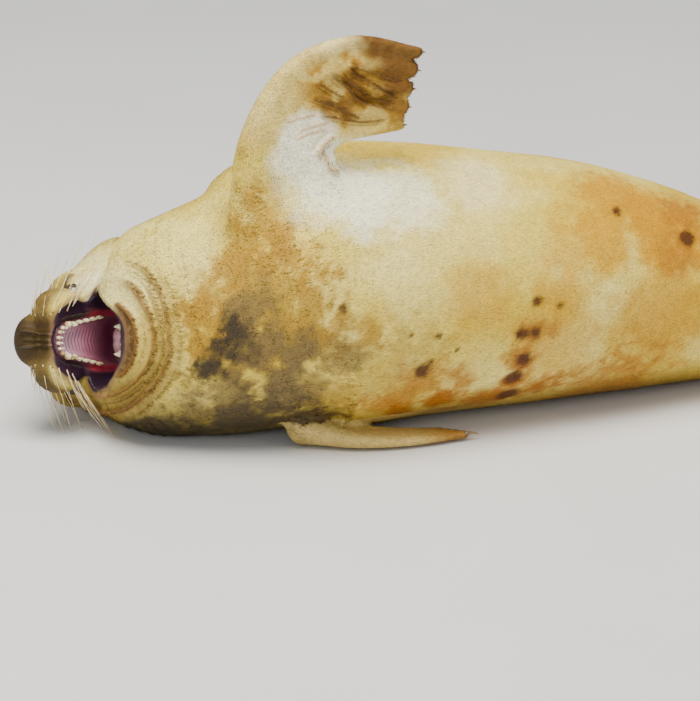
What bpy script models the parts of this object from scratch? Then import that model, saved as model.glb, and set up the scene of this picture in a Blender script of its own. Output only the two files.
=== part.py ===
"""A plump young harbor seal, life size, lying on its right side in a wide yawn.

The left foreflipper is raised, the right one lies on the ground, and the hind flippers trail
behind. The whole body is one smooth form, written as a signed distance: a tube along the spine,
a head built in its own frame, a lower jaw swung open about its hinge, and fan-shaped flippers.
That form is meshed once, laid on flats at z = 0, and parted by thin cuts into named pieces.

Metres. +X runs to the tail, -Y to the belly, +Z up (the seal's left side). The origin is under
the middle of the whole part, on the ground.
"""

import math

import bmesh
import bpy
import numpy as np
import openvdb
from mathutils import Matrix, Vector

# ---------------------------------------------------------------- driving sizes

GAP = 0.00035             # between neighbouring pieces
CELL = 0.004              # spacing of the grid that the form is sampled on
BODY_TRIANGLES = 4560

# The forms below are written from a point under the chest; PLACE brings the part's middle to 0.
PLACE = np.array((-0.3119, -0.0037, 0.0))

# Spine: x, y, z and radius, from inside the head to the root of the tail.
SPINE = [
    (-0.192, 0.080, 0.092, 0.072),
    (-0.165, 0.055, 0.095, 0.111),
    (-0.118, 0.024, 0.1115, 0.1265),
    (-0.060, 0.006, 0.128, 0.1375),
    (0.000, 0.001, 0.148, 0.1580),
    (0.060, 0.000, 0.149, 0.1580),
    (0.120, 0.000, 0.147, 0.1530),
    (0.200, 0.000, 0.140, 0.1450),
    (0.300, 0.002, 0.129, 0.1345),
    (0.390, 0.002, 0.113, 0.1190),
    (0.460, 0.000, 0.098, 0.1025),
    (0.530, -0.002, 0.083, 0.0860),
    (0.600, 0.000, 0.068, 0.0700),
    (0.660, 0.004, 0.055, 0.0540),
    (0.706, 0.008, 0.045, 0.0380),
]
BELLY_DEPTH = 1.06        # the trunk is this much deeper, back to belly, than it is wide

# Head. Its frame has its origin on the jaw's hinge: x to the muzzle, y to the left, z to the crown.
HEAD_TURN = math.radians(29.3)      # of the muzzle towards the belly
HEAD_LIFT = math.radians(14.7)      # of the muzzle off the ground
HEAD_ROLL = math.radians(13.6)      # of the head's left side towards the back
INCISORS = np.array((-0.270, 0.005, 0.115))
JAW_REACH = 0.105                   # hinge to incisors
GAPE = math.radians(42.0)

PALATE = 0.013                      # height of the palate over the incisors' tips
GUM = 0.008                         # how far the gum stands down from it
UPPER_ARCH = (0.030, 0.104, 0.027, 0.018)   # back, front, half width at the back and in front
LOWER_ARCH = (0.030, 0.097, 0.025, 0.016)
FLOOR = -0.006                      # of the mouth, in the jaw's frame
UPPER_LIP = 0.0045                  # heights of the lips' edges, each in its own frame
LOWER_LIP = 0.0045

EYE_RADIUS = 0.0165
EYE_LINE = ((0.048, 0.038, 0.030), (0.35, 1.0, 0.25))   # a point behind the eye, and its gaze
LID = 0.003                         # thickness of the lids over the eyeball
SLIT = (0.011, 0.009, 0.0020)       # half length, depth and height of the narrowed eye

# Foreflippers and hind flippers: the middle lines of the first and the last digit.
LEFT_FORE = {
    "lead": [(-0.072, -0.058, 0.262), (-0.069, -0.058, 0.338), (-0.044, -0.057, 0.398),
             (-0.006, -0.056, 0.433), (0.052, -0.054, 0.4455), (0.119, -0.052, 0.4270)],
    "trail": [(0.004, -0.060, 0.270), (0.006, -0.059, 0.322), (0.016, -0.058, 0.337),
              (0.036, -0.057, 0.3430), (0.066, -0.055, 0.3430), (0.098, -0.053, 0.3440)],
    "arm": 0.026, "wrist": 0.015, "tip": 0.0055,
}
RIGHT_FORE = {
    "lead": [(-0.024, -0.092, 0.022), (-0.004, -0.106, 0.016), (0.030, -0.124, 0.011),
             (0.085, -0.134, 0.008), (0.152, -0.130, 0.007)],
    "trail": [(-0.010, -0.084, 0.020), (0.015, -0.090, 0.014), (0.045, -0.098, 0.010),
              (0.085, -0.103, 0.008), (0.124, -0.108, 0.007)],
    "arm": 0.020, "wrist": 0.012, "tip": 0.0052,
}
ANKLE = 0.764                       # x of the cut between hindquarters and hind flippers


def hind(side):
    """Digit lines of the hind flipper: side 1 is the upper, left one, side -1 the lower one."""
    root, ankle, blade = 0.042 + 0.014 * side, 0.043 + 0.026 * side, 0.043 + 0.0315 * side
    return {
        "lead": [(0.695, 0.014, root), (0.748, 0.028, ankle), (0.805, 0.052, blade),
                 (0.865, 0.074, blade), (0.925, 0.088, blade)],
        "trail": [(0.695, -0.010, root), (0.748, -0.022, ankle), (0.805, -0.042, blade),
                  (0.865, -0.062, blade), (0.925, -0.076, blade)],
        "arm": 0.022, "wrist": 0.0135, "tip": 0.0052,
    }


LIMBS = [
    # name, digit lines, how softly the limb runs into the body, the side its nails are on
    ("foreflipper_left", LEFT_FORE, 0.022, (0.0, 1.0, 0.0)),
    ("foreflipper_right", RIGHT_FORE, 0.006, (0.0, 0.0, 1.0)),
    ("hindflipper_left", hind(1), 0.010, (0.0, 0.0, 1.0)),
    ("hindflipper_right", hind(-1), 0.010, (0.0, 0.0, 1.0)),
]
DIGITS = 5

# ---------------------------------------------------------------- distance fields


def smooth_min(a, b, k):
    h = np.clip(0.5 + 0.5 * (b - a) / k, 0.0, 1.0)
    return b + (a - b) * h - k * h * (1.0 - h)


def smooth_max(a, b, k):
    return -smooth_min(-a, -b, k)


def step(x, low, high):
    """0 up to low, 1 from high on, and smooth between."""
    t = np.clip((x - low) / (high - low), 0.0, 1.0)
    return t * t * (3.0 - 2.0 * t)


def ellipsoid(p, centre, radii):
    radii = np.array(radii, np.float32)
    q = (p - np.array(centre, np.float32)) / radii
    near = np.sqrt((q * q).sum(1)) + 1e-9
    slope = np.sqrt(((q / radii) ** 2).sum(1)) + 1e-9
    return near * (near - 1.0) / slope


def rounded(points, steps):
    """A Catmull-Rom curve through the rows of points, with so many steps to a span."""
    pts = np.array(points, float)
    ends = np.vstack([2 * pts[0] - pts[1], pts, 2 * pts[-1] - pts[-2]])
    t = (np.arange(steps) / steps)[:, None]
    rows = []
    for i in range(len(pts) - 1):
        a, b, c, d = ends[i:i + 4]
        bend = (2 * a - 5 * b + 4 * c - d) * t ** 2 + (3 * b - a - 3 * c + d) * t ** 3
        rows.append(0.5 * (2 * b + (c - a) * t + bend))
    return np.vstack(rows + [pts[-1:]])


def tube(p, stations, steps, depth=1.0):
    """Distance from a tube through x, y, z, radius rows, stretched depth times along y."""
    scale = np.array((1.0, depth, 1.0), np.float32)
    rows = rounded(stations, steps).astype(np.float32)
    centres, radii = rows[:, :3] / scale, rows[:, 3]
    q = p / scale
    gap = np.full(len(p), 1e3, np.float32)
    radius = np.zeros(len(p), np.float32)
    for i in range(len(centres) - 1):
        step = centres[i + 1] - centres[i]
        away = q - centres[i]
        t = np.clip(away @ step / (step @ step), 0, 1)
        away = away - t[:, None] * step
        away = np.sqrt((away * away).sum(1))
        closer = away < gap
        gap = np.where(closer, away, gap)
        radius = np.where(closer, radii[i] + (radii[i + 1] - radii[i]) * t, radius)
    return gap - radius


def head_axes():
    """The head's forward, left and crown directions."""
    flat = math.cos(HEAD_LIFT)
    forward = np.array((-math.cos(HEAD_TURN) * flat, -math.sin(HEAD_TURN) * flat,
                        math.sin(HEAD_LIFT)))
    lift = np.array((0, 0, 1.0)) - forward[2] * forward
    lift /= np.linalg.norm(lift)
    left = math.cos(HEAD_ROLL) * lift + math.sin(HEAD_ROLL) * np.cross(forward, lift)
    return np.array((forward, left, np.cross(forward, left)))


HEAD_AXES = head_axes()
HINGE = INCISORS - JAW_REACH * HEAD_AXES[0]


def to_head(p):
    return (p - HINGE.astype(np.float32)) @ HEAD_AXES.T.astype(np.float32)


def from_head(h):
    return HINGE + np.asarray(h) @ HEAD_AXES


def to_jaw(h):
    """From the head's frame to the lower jaw's, swung open about the hinge."""
    c, s = math.cos(GAPE), math.sin(GAPE)
    return np.stack([c * h[:, 0] - s * h[:, 2], h[:, 1], s * h[:, 0] + c * h[:, 2]], 1)


def from_jaw(j):
    c, s = math.cos(GAPE), math.sin(GAPE)
    x, y, z = j
    return from_head((c * x + s * z, y, -s * x + c * z))


def both_sides(h):
    return h * np.array((1, 0, 1), np.float32) + np.abs(h) * np.array((0, 1, 0), np.float32)


def head(p):
    """Skull, brow, cheeks, muzzle and lower jaw."""
    h = to_head(p)
    pair = both_sides(h)
    d = ellipsoid(h, (-0.005, 0, 0.038), (0.074, 0.068, 0.050))
    for centre, radii, softness, shared in (
        ((0.010, 0.030, 0.014), (0.050, 0.040, 0.040), 0.018, pair),     # cheeks
        ((0.038, 0.043, 0.049), (0.029, 0.031, 0.027), 0.012, pair),     # brows
        ((0.072, 0.000, 0.042), (0.048, 0.026, 0.024), 0.012, h),       # bridge of the muzzle
        ((0.086, 0.0300, 0.022), (0.034, 0.0285, 0.0265), 0.006, pair),   # whisker pads
        ((0.092, 0.000, 0.016), (0.024, 0.032, 0.018), 0.008, h),       # front lip
        ((0.110, 0.000, 0.042), (0.020, 0.028, 0.018), 0.010, h),       # nose
    ):
        d = smooth_min(d, ellipsoid(shared, centre, radii), softness)
    j = to_jaw(h)
    jaw = ellipsoid(j, (0.040, 0, -0.014), (0.062, 0.050, 0.022))
    jaw = smooth_min(jaw, ellipsoid(j, (0.086, 0, -0.0035), (0.021, 0.036, 0.0115)), 0.010)
    return smooth_min(d, jaw, 0.014)


def neck_rolls(p):
    """The fat behind the cheeks and the fold that the open jaw pushes up at the throat."""
    h = to_head(p)
    nape = ellipsoid(h, (-0.030, 0.007, 0.040), (0.062, 0.110, 0.066))
    throat = ellipsoid(to_jaw(h), (0.018, -0.004, -0.046), (0.058, 0.086, 0.030))
    return smooth_min(nape, throat, 0.03)


def arch(x, y, shape):
    """Distance in plan from a row of teeth: straight sides that close in an arc in front."""
    back, front, half_back, half_front = shape
    bend = front - half_front
    along = np.clip((x - back) / (bend - back), 0, 1)
    side = np.abs(np.abs(y) - (half_back + (half_front - half_back) * along))
    return np.where(x > bend, np.abs(np.hypot(x - bend, y) - half_front), side)


def ridge(off):
    """The gum's height across a tooth row, broader outside it than inside."""
    return np.exp(-(off / np.where(off > 0, 0.008, 0.0055)) ** 2)


def mouth(p):
    """The open mouth: between palate and tongue, rounded at the corners of the lips."""
    h = to_head(p)
    j = to_jaw(h)
    x = 0.5 * (h[:, 0] + j[:, 0])
    width = np.interp(x, [-0.01, 0.015, 0.035, 0.055, 0.075, 0.09, 0.11],
                      [0.018, 0.030, 0.042, 0.050, 0.048, 0.042, 0.032]).astype(np.float32)
    upper = arch(h[:, 0], h[:, 1], UPPER_ARCH)
    lower = arch(j[:, 0], j[:, 1], LOWER_ARCH)
    roof = PALATE - GUM * ridge(upper) - (PALATE - UPPER_LIP) * step(upper, 0.004, 0.011)
    floor = FLOOR - FLOOR * ridge(lower) + (LOWER_LIP - FLOOR) * step(lower, 0.004, 0.011)
    down = roof - h[:, 2]
    up = j[:, 2] - floor
    total = np.maximum(down + up, 0.004)
    square = 3.0
    lip = np.abs((down - up) / total) ** square + (np.abs(h[:, 1]) / width) ** square
    d = (lip ** (1 / square) - 1) * np.minimum(width, 0.5 * total)
    return smooth_max(d, 0.004 - x, 0.008)


def ray(limb, t):
    """The line that lies t of the way from a flipper's first digit to its last."""
    return (1 - t) * np.array(limb["lead"]) + t * np.array(limb["trail"])


def flipper(p, limb):
    """A blade of rays: each digit a full one, thinner and shorter ones for the web between."""
    arm, wrist, tip = limb["arm"], limb["wrist"], limb["tip"]
    web = 0.75 * tip
    rays_to_digit = 4
    count = rays_to_digit * (DIGITS - 1)
    d = np.full(len(p), 1e3, np.float32)
    for i in range(count + 1):
        webbed = (0, 0.75, 1, 0.75)[i % rays_to_digit]
        route = ray(limb, i / count)
        route[-1] = route[-2] + (1 - 0.005 * webbed) * (route[-1] - route[-2])
        along = np.linspace(0, 1, len(route))
        bone = np.interp(along, [0, 0.3, 0.75, 1], [arm, wrist, 1.35 * tip, tip])
        thin = np.interp(along, [0, 0.35, 0.8, 1], [arm, 0.9 * wrist, web, 0.8 * web])
        radius = bone + (thin - bone) * webbed
        d = smooth_min(d, tube(p, np.column_stack([route, radius]), 4), 0.004)
    return d


def tail(p):
    d = ellipsoid(p, (0.735, 0.036, 0.043), (0.052, 0.011, 0.0125))
    return smooth_min(d, ellipsoid(p, (0.772, 0.045, 0.043), (0.026, 0.007, 0.0105)), 0.015)


def within(p, low, high, form):
    """form where p is inside the box, and a large distance elsewhere."""
    inside = ((p > np.array(low, np.float32)) & (p < np.array(high, np.float32))).all(1)
    d = np.full(len(p), 0.2, np.float32)
    if inside.any():
        d[inside] = form(p[inside])
    return d


def limb_box(limb):
    points = np.array(limb["lead"] + limb["trail"])
    return points.min(0) - 0.06, points.max(0) + 0.06


def seal(p):
    """The whole seal except its tail, from points given from under the chest."""
    d = tube(p, SPINE, 6, BELLY_DEPTH)
    low, high = INCISORS - 0.3, INCISORS + 0.3
    d = smooth_min(d, within(p, low, high, neck_rolls), 0.035)
    # The chin parts sharply from the throat, while nape and crown run into each other.
    softness = np.interp(to_head(p)[:, 2], [-0.03, 0.05], [0.008, 0.022]).astype(np.float32)
    d = smooth_min(d, within(p, low, high, head), softness)
    for _, limb, softness, _ in LIMBS:
        low, high = limb_box(limb)
        d = smooth_min(d, within(p, low, high, lambda q, limb=limb: flipper(q, limb)), softness)
    return smooth_max(d, -within(p, INCISORS - 0.2, INCISORS + 0.2, mouth), 0.004)


# ---------------------------------------------------------------- meshing


def sampled(form, low, high):
    """form on a grid, worked out only near its surface; elsewhere only its sign is kept."""
    block = 4
    low = np.array(low)
    coarse = np.ceil((np.array(high) - low) / (CELL * block)).astype(int) + 1
    corners = np.stack(np.meshgrid(*map(np.arange, coarse), indexing="ij"), -1)
    rough = form((low + corners.reshape(-1, 3) * CELL * block).astype(np.float32))
    grid = np.kron(rough.reshape(coarse), np.ones((block, block, block), np.float32))
    close = np.argwhere(np.abs(grid) < 1.5 * CELL * block)
    values = [form((low + part * CELL).astype(np.float32))
              for part in np.array_split(close, max(1, len(close) // 150000))]
    grid = np.sign(grid) * 3 * CELL
    grid[tuple(close.T)] = np.concatenate(values)
    return grid.astype(np.float32)


def slope(form, p):
    eps = np.float32(0.0008)
    axes = np.eye(3, dtype=np.float32) * eps
    return np.stack([form(p + a) - form(p - a) for a in axes], 1) / (2 * eps)


def settle(obj, form, rounds=2):
    """Moves the vertices of obj along the slope of form on to its surface."""
    p = vertices(obj) - PLACE.astype(np.float32)
    for _ in range(rounds):
        g = slope(form, p)
        step = form(p) / np.maximum((g * g).sum(1), 0.25)
        p = p - np.clip(step, -CELL / 2, CELL / 2)[:, None] * g
    obj.data.vertices.foreach_set("co", (p + PLACE).astype(np.float32).ravel())


def surface(name, form, low, high, triangles):
    """A closed mesh object of the form's surface, reduced to about so many triangles."""
    grid = openvdb.FloatGrid()
    grid.background = 3 * CELL
    grid.copyFromArray(sampled(form, low, high))
    points, _, quads = grid.convertToPolygons(isovalue=0.0, adaptivity=0.0)
    points = np.array(low) + points * CELL
    mesh = bpy.data.meshes.new(name)
    mesh.from_pydata((points + PLACE).tolist(), [], quads.tolist())
    obj = bpy.data.objects.new(name, mesh)
    bpy.context.collection.objects.link(obj)
    reduce = obj.modifiers.new("reduce", "DECIMATE")
    reduce.ratio = triangles / (2 * len(quads))
    apply_modifiers(obj)
    settle(obj, form)
    face_out(obj)
    return obj


def vertices(obj):
    points = np.empty(len(obj.data.vertices) * 3, np.float32)
    obj.data.vertices.foreach_get("co", points)
    return points.reshape(-1, 3)


def apply_modifiers(obj):
    bpy.context.view_layer.update()
    graph = bpy.context.evaluated_depsgraph_get()
    result = bpy.data.meshes.new_from_object(obj.evaluated_get(graph))
    obj.modifiers.clear()
    obj.data = result


def volume(obj):
    bm = bmesh.new()
    bm.from_mesh(obj.data)
    size = bm.calc_volume(signed=True)
    bm.free()
    return size


def face_out(obj):
    if volume(obj) < 0:
        obj.data.flip_normals()


def from_bmesh(name, bm):
    mesh = bpy.data.meshes.new(name)
    bmesh.ops.recalc_face_normals(bm, faces=bm.faces)
    bm.to_mesh(mesh)
    bm.free()
    obj = bpy.data.objects.new(name, mesh)
    bpy.context.collection.objects.link(obj)
    face_out(obj)
    return obj


def boolean(obj, other, operation):
    step = obj.modifiers.new(operation.lower(), "BOOLEAN")
    step.operation = operation
    step.object = other
    apply_modifiers(obj)


def as_cutter(obj):
    obj.hide_render = True
    obj.display_type = "WIRE"
    return obj


def swollen(obj, by=GAP):
    """A copy of obj that is larger by the gap all round, to cut its seat with."""
    copy = obj.copy()
    copy.data = obj.data.copy()
    copy.name = obj.name + "_seat"
    bpy.context.collection.objects.link(copy)
    grow = copy.modifiers.new("grow", "DISPLACE")
    grow.mid_level = 0
    grow.strength = by
    apply_modifiers(copy)
    return as_cutter(copy)


# ---------------------------------------------------------------- cutting


def plate(centre, across, along, half_across, half_along):
    """A thin closed plate through centre, spanned by two directions."""
    across, along = Vector(across).normalized(), Vector(along).normalized()
    normal = across.cross(along).normalized()
    along = normal.cross(across)
    frame = Matrix((across, along, normal)).transposed().to_4x4()
    frame.translation = Vector(centre) + Vector(PLACE)
    bm = bmesh.new()
    bmesh.ops.create_cube(bm, size=2.0)
    size = Matrix.Diagonal((half_across, half_along, GAP / 2, 1))
    bmesh.ops.transform(bm, matrix=frame @ size, verts=bm.verts)
    return bm


def cut_plates():
    """The thin plates that part the body: centre, two directions and their half lengths."""
    forward, left, crown = HEAD_AXES
    half = GAPE / 2
    bisector = math.cos(half) * forward - math.sin(half) * crown
    nose_to_nape = (0.12, 0.99, -0.15)
    upright = (0.05, 0.10, 0.99)
    return [
        ((-0.155, 0.050, 0.10), nose_to_nape, upright, 0.19, 0.19),          # head and neck
        ((-0.100, 0.010, 0.12), (0.10, 1, 0), (0, 0, 1), 0.21, 0.20),        # neck and chest
        ((0.175, 0.000, 0.14), (0, 1, 0), (0, 0, 1), 0.21, 0.175),           # chest and abdomen
        ((0.380, 0.000, 0.13), (0, 1, 0), (0, 0, 1), 0.18, 0.16),            # and hindquarters
        ((ANKLE, 0.000, 0.05), (0, 1, 0), (0, 0, 1), 0.08, 0.08),            # hind flippers
        (HINGE + 0.022 * bisector, left, bisector, 0.14, 0.080),             # upper and lower jaw
        ((-0.028, -0.058, 0.3075), (1, 0, 0), (0, 0.96, 0.278), 0.12, 0.085),
        ((0.045, -0.0880, 0.0125), (1, 0, 0), (0, 0.877, -0.48), 0.120, 0.045),
    ]


PIECES = {
    # name: a point inside the piece, from under the chest
    "head": (-0.230, 0.075, 0.110),
    "lower_jaw": (-0.175, -0.010, 0.090),
    "neck": (-0.115, 0.025, 0.110),
    "chest": (0.020, 0.000, 0.150),
    "abdomen": (0.255, 0.000, 0.130),
    "hindquarters": (0.540, 0.000, 0.085),
    "foreflipper_left": (0.010, -0.056, 0.380),
    "foreflipper_right": (0.060, -0.112, 0.010),
    "hindflipper_left": (0.840, 0.000, 0.075),
    "hindflipper_right": (0.840, 0.000, 0.012),
}


def loose_parts(obj):
    """Each loose shell of obj as its own mesh object."""
    bm = bmesh.new()
    bm.from_mesh(obj.data)
    bm.faces.ensure_lookup_table()
    seen, parts = set(), []
    for face in bm.faces:
        if face.index in seen:
            continue
        shell, stack = [], [face]
        seen.add(face.index)
        while stack:
            here = stack.pop()
            shell.append(here)
            for edge in here.edges:
                for other in edge.link_faces:
                    if other.index not in seen:
                        seen.add(other.index)
                        stack.append(other)
        part = bmesh.new()
        copies = {}
        for here in shell:
            corners = []
            for vert in here.verts:
                if vert not in copies:
                    copies[vert] = part.verts.new(vert.co)
                corners.append(copies[vert])
            part.faces.new(corners)
        parts.append(from_bmesh("part", part))
    bm.free()
    bpy.data.objects.remove(obj)
    return parts


def middle(obj):
    points = vertices(obj)
    return (points.min(0) + points.max(0)) / 2 - PLACE


def parted(body):
    """The body cut into its named pieces."""
    for cut in cut_plates():
        boolean(body, as_cutter(from_bmesh("cut", plate(*cut))), "DIFFERENCE")
    smallest = 1e-6
    found = {}
    for part in loose_parts(body):
        if volume(part) < smallest:
            bpy.data.objects.remove(part)
            continue
        name = min(PIECES, key=lambda n: np.linalg.norm(middle(part) - PIECES[n]))
        if name in found:
            raise ValueError(f"two loose parts are nearest to {name}")
        part.name = name
        part.data.name = name
        found[name] = part
    return found


# ---------------------------------------------------------------- small pieces


def spike(bm, base, tip, radius, sides, bend=(0, 0, 0), rings=(0.0, 0.45, 0.8)):
    """A tapering, bent spike from base to tip, closed at both ends."""
    base, tip, bend = Vector(base), Vector(tip), Vector(bend)
    axis = (tip - base).normalized()
    across = axis.orthogonal().normalized()
    other = axis.cross(across)
    loops = []
    for t in rings:
        centre = base.lerp(tip, t) + bend * t * (1 - t) * 4
        size = radius * (1 - t ** 1.6)
        loops.append([bm.verts.new(centre + size * (math.cos(a) * across + math.sin(a) * other))
                      for a in (2 * math.pi * i / sides for i in range(sides))])
    point = bm.verts.new(tip)
    for low, high in zip(loops, loops[1:]):
        for i in range(sides):
            k = (i + 1) % sides
            bm.faces.new((low[i], low[k], high[k], high[i]))
    for i in range(sides):
        bm.faces.new((loops[-1][i], loops[-1][(i + 1) % sides], point))
    bm.faces.new(loops[0][::-1])


def arch_point(shape, y_share, x=None):
    """A point of a tooth row: by x on its straight side, or by its share of the front arc."""
    back, front, half_back, half_front = shape
    bend = front - half_front
    if x is not None:
        half = half_back + (half_front - half_back) * (x - back) / (bend - back)
        return x, y_share * half
    angle = y_share * math.pi / 2
    return bend + half_front * math.cos(angle), half_front * math.sin(angle)


def tooth_rows(shape, incisors):
    """x, y, height and radius of each tooth: incisors, canines and five cheek teeth a side."""
    rows = []
    for i in range(incisors):
        share = (i - (incisors - 1) / 2) / ((incisors - 1) / 2) * 0.52
        rows.append((*arch_point(shape, share), 0.0065, 0.0019))
    for side in (-1, 1):
        rows.append((*arch_point(shape, side * 0.86), 0.0125, 0.0034))
        for i in range(5):
            x = shape[1] - shape[3] - 0.004 - 0.0105 * i
            rows.append((*arch_point(shape, side, x), 0.0065, 0.0030))
    return rows


def teeth(shape, incisors, place, gum_height, out):
    """All teeth of one jaw as separate spikes in one mesh. place takes a frame's x, y, z."""
    bm = bmesh.new()
    for x, y, height, radius in tooth_rows(shape, incisors):
        base = place((x, y, gum_height - out * 0.007)) + PLACE
        tip = place((x - 0.001, y, gum_height + out * height)) + PLACE
        spike(bm, base, tip, radius, 5, rings=(0.0, 0.6))
    return from_bmesh("teeth", bm)


def gaze(side):
    """Where an eye's line leaves the head, and the line's direction."""
    mirror = np.array((1, side, 1))
    inside, direction = (np.array(row) * mirror for row in EYE_LINE)
    direction = direction @ HEAD_AXES / np.linalg.norm(direction)
    steps = np.linspace(0, 0.08, 801)[:, None]
    line = from_head(inside) + steps * direction
    return line[np.argmax(seal(line.astype(np.float32)) > 0)], direction


def eye(name, side):
    bm = bmesh.new()
    bmesh.ops.create_icosphere(bm, subdivisions=2, radius=EYE_RADIUS)
    surface_point, direction = gaze(side)
    centre = surface_point - (EYE_RADIUS + LID) * direction + PLACE
    bmesh.ops.translate(bm, verts=bm.verts, vec=Vector(centre))
    return from_bmesh(name, bm)


def slit(side):
    """The narrow opening between the lids, from the eyeball out through the coat."""
    surface_point, direction = gaze(side)
    outward = Vector(direction)
    forward = Vector(HEAD_AXES[0])
    along = (forward - forward.dot(outward) * outward).normalized()
    frame = Matrix((along, outward, along.cross(outward))).transposed().to_4x4()
    frame.translation = Vector(surface_point + PLACE)
    bm = bmesh.new()
    bmesh.ops.create_icosphere(bm, subdivisions=1, radius=1.0)
    bmesh.ops.transform(bm, matrix=frame @ Matrix.Diagonal((*SLIT, 1)), verts=bm.verts)
    return as_cutter(from_bmesh("slit", bm))


def tongue_form(p):
    j = to_jaw(to_head(p))
    blade = ellipsoid(j, (0.052, 0, 0.006), (0.038, 0.0180, 0.0095))
    return blade + 0.0012 * np.exp(-(j[:, 1] / 0.003) ** 2)


def claw(name, limb, digit, nail_side):
    """A bent claw that grows out of a digit's tip on the flipper's outer side."""
    line = ray(limb, digit / (DIGITS - 1))
    run = line[-1] - line[-2]
    run /= np.linalg.norm(run)
    up = np.array(nail_side)
    base = line[-1] + 0.0015 * up - 0.004 * run + PLACE
    tip = base + 0.0185 * run - 0.002 * up
    bm = bmesh.new()
    spike(bm, base, tip, 0.0024, 5, bend=0.0016 * up, rings=(0.0, 0.5))
    return from_bmesh(name, bm)


# ---------------------------------------------------------------- finish


def paint(obj, name, colour, roughness):
    material = bpy.data.materials.get(name) or bpy.data.materials.new(name)
    material.use_nodes = True
    shader = material.node_tree.nodes["Principled BSDF"]
    shader.inputs["Base Color"].default_value = (*colour, 1)
    shader.inputs["Roughness"].default_value = roughness
    shader.inputs["Metallic"].default_value = 0.0
    obj.data.materials.clear()
    obj.data.materials.append(material)


COAT_COLOURS = {
    "head": (0.30, 0.22, 0.11),
    "lower_jaw": (0.42, 0.31, 0.16),
    "neck": (0.60, 0.48, 0.26),
    "chest": (0.68, 0.54, 0.28),
    "abdomen": (0.66, 0.47, 0.19),
    "hindquarters": (0.60, 0.38, 0.13),
    "tail": (0.45, 0.28, 0.10),
    "foreflipper_left": (0.52, 0.38, 0.17),
    "foreflipper_right": (0.48, 0.36, 0.16),
    "hindflipper_left": (0.40, 0.27, 0.11),
    "hindflipper_right": (0.38, 0.26, 0.11),
}


def ground_block():
    """Everything under z = 0, to lay the seal on flats."""
    bm = bmesh.new()
    bmesh.ops.create_cube(bm, size=1.0)
    shape = Matrix.Translation((0, 0, -0.1)) @ Matrix.Diagonal((2.0, 1.0, 0.2, 1))
    bmesh.ops.transform(bm, matrix=shape, verts=bm.verts)
    return as_cutter(from_bmesh("ground", bm))


def main():
    for obj in list(bpy.data.objects):
        bpy.data.objects.remove(obj)

    body = surface("body", seal, (-0.36, -0.23, -0.05), (0.97, 0.23, 0.49), BODY_TRIANGLES)
    boolean(body, ground_block(), "DIFFERENCE")
    pieces = parted(body)

    pieces["tail"] = surface("tail", tail, (0.66, 0.0, 0.0), (0.82, 0.08, 0.09), 160)
    boolean(pieces["tail"], swollen(pieces["hindquarters"]), "DIFFERENCE")

    boolean(pieces["head"], as_cutter(teeth(UPPER_ARCH, 6, from_head, PALATE - GUM, -1)), "UNION")
    boolean(pieces["lower_jaw"], as_cutter(teeth(LOWER_ARCH, 4, from_jaw, 0.0, 1)), "UNION")

    pieces["tongue"] = surface("tongue", tongue_form, (-0.30, -0.12, 0.02), (-0.12, 0.12, 0.22),
                               260)
    for name in ("lower_jaw", "head"):
        boolean(pieces[name], swollen(pieces["tongue"], 2 * GAP), "DIFFERENCE")

    for name, side in (("eye_left", 1), ("eye_right", -1)):
        pieces[name] = eye(name, side)
        boolean(pieces["head"], swollen(pieces[name]), "DIFFERENCE")
        boolean(pieces["head"], slit(side), "DIFFERENCE")

    for limb_name, limb, _, nail_side in LIMBS:
        for digit in range(DIGITS):
            name = f"claw_{limb_name}_{digit + 1}"
            pieces[name] = claw(name, limb, digit, nail_side)
            boolean(pieces[limb_name], swollen(pieces[name]), "DIFFERENCE")

    for name, obj in pieces.items():
        if name in COAT_COLOURS:
            paint(obj, "coat_" + name, COAT_COLOURS[name], 0.75)
        elif name.startswith("eye"):
            paint(obj, "eye", (0.012, 0.008, 0.006), 0.08)
        elif name == "tongue":
            paint(obj, "tongue", (0.36, 0.18, 0.20), 0.3)
        else:
            paint(obj, "claw", (0.05, 0.035, 0.025), 0.35)
        obj.data.shade_smooth()
        obj.data.set_sharp_from_angle(angle=math.radians(40))


main()
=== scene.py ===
"""The looks of a harbor seal that lies on its right side and yawns: skin, coat, mouth and whiskers.

Metres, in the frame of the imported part. The skin is meshed from the same smooth form as the
solids, a coat's depth inside them, and then creased, lidded and coloured. The forms are written
from a point under the chest, and PLACE moves them on to the frame's origin.
"""

import math

import bmesh
import bpy
import numpy as np
import openvdb
from mathutils import Matrix, Vector


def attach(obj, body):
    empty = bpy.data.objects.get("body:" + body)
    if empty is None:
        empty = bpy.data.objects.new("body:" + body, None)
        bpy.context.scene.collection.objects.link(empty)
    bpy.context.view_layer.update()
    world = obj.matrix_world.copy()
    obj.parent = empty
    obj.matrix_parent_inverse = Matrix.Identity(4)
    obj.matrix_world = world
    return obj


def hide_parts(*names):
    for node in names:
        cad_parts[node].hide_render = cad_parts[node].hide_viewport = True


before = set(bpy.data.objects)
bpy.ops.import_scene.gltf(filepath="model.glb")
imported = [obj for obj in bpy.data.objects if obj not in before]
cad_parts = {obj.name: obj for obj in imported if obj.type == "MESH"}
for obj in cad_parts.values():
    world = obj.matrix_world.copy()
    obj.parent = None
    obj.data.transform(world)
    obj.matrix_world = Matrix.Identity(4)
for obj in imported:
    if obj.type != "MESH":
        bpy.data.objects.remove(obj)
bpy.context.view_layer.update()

F = np.float32


def metres(table):
    """A table written in millimetres, in metres."""
    if isinstance(table, dict):
        return {name: metres(row) for name, row in table.items()}
    if isinstance(table, (list, tuple)):
        return tuple(map(metres, table))
    return table / 1000


PLACE = np.array((-0.3119, -0.0037, 0.0), F)
FLESH = ["head", "lower_jaw", "neck", "chest", "abdomen", "hindquarters", "tail",
         "foreflipper_left", "foreflipper_right", "hindflipper_left", "hindflipper_right"]

# ---------------------------------------------------------------- sizes of the body

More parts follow.
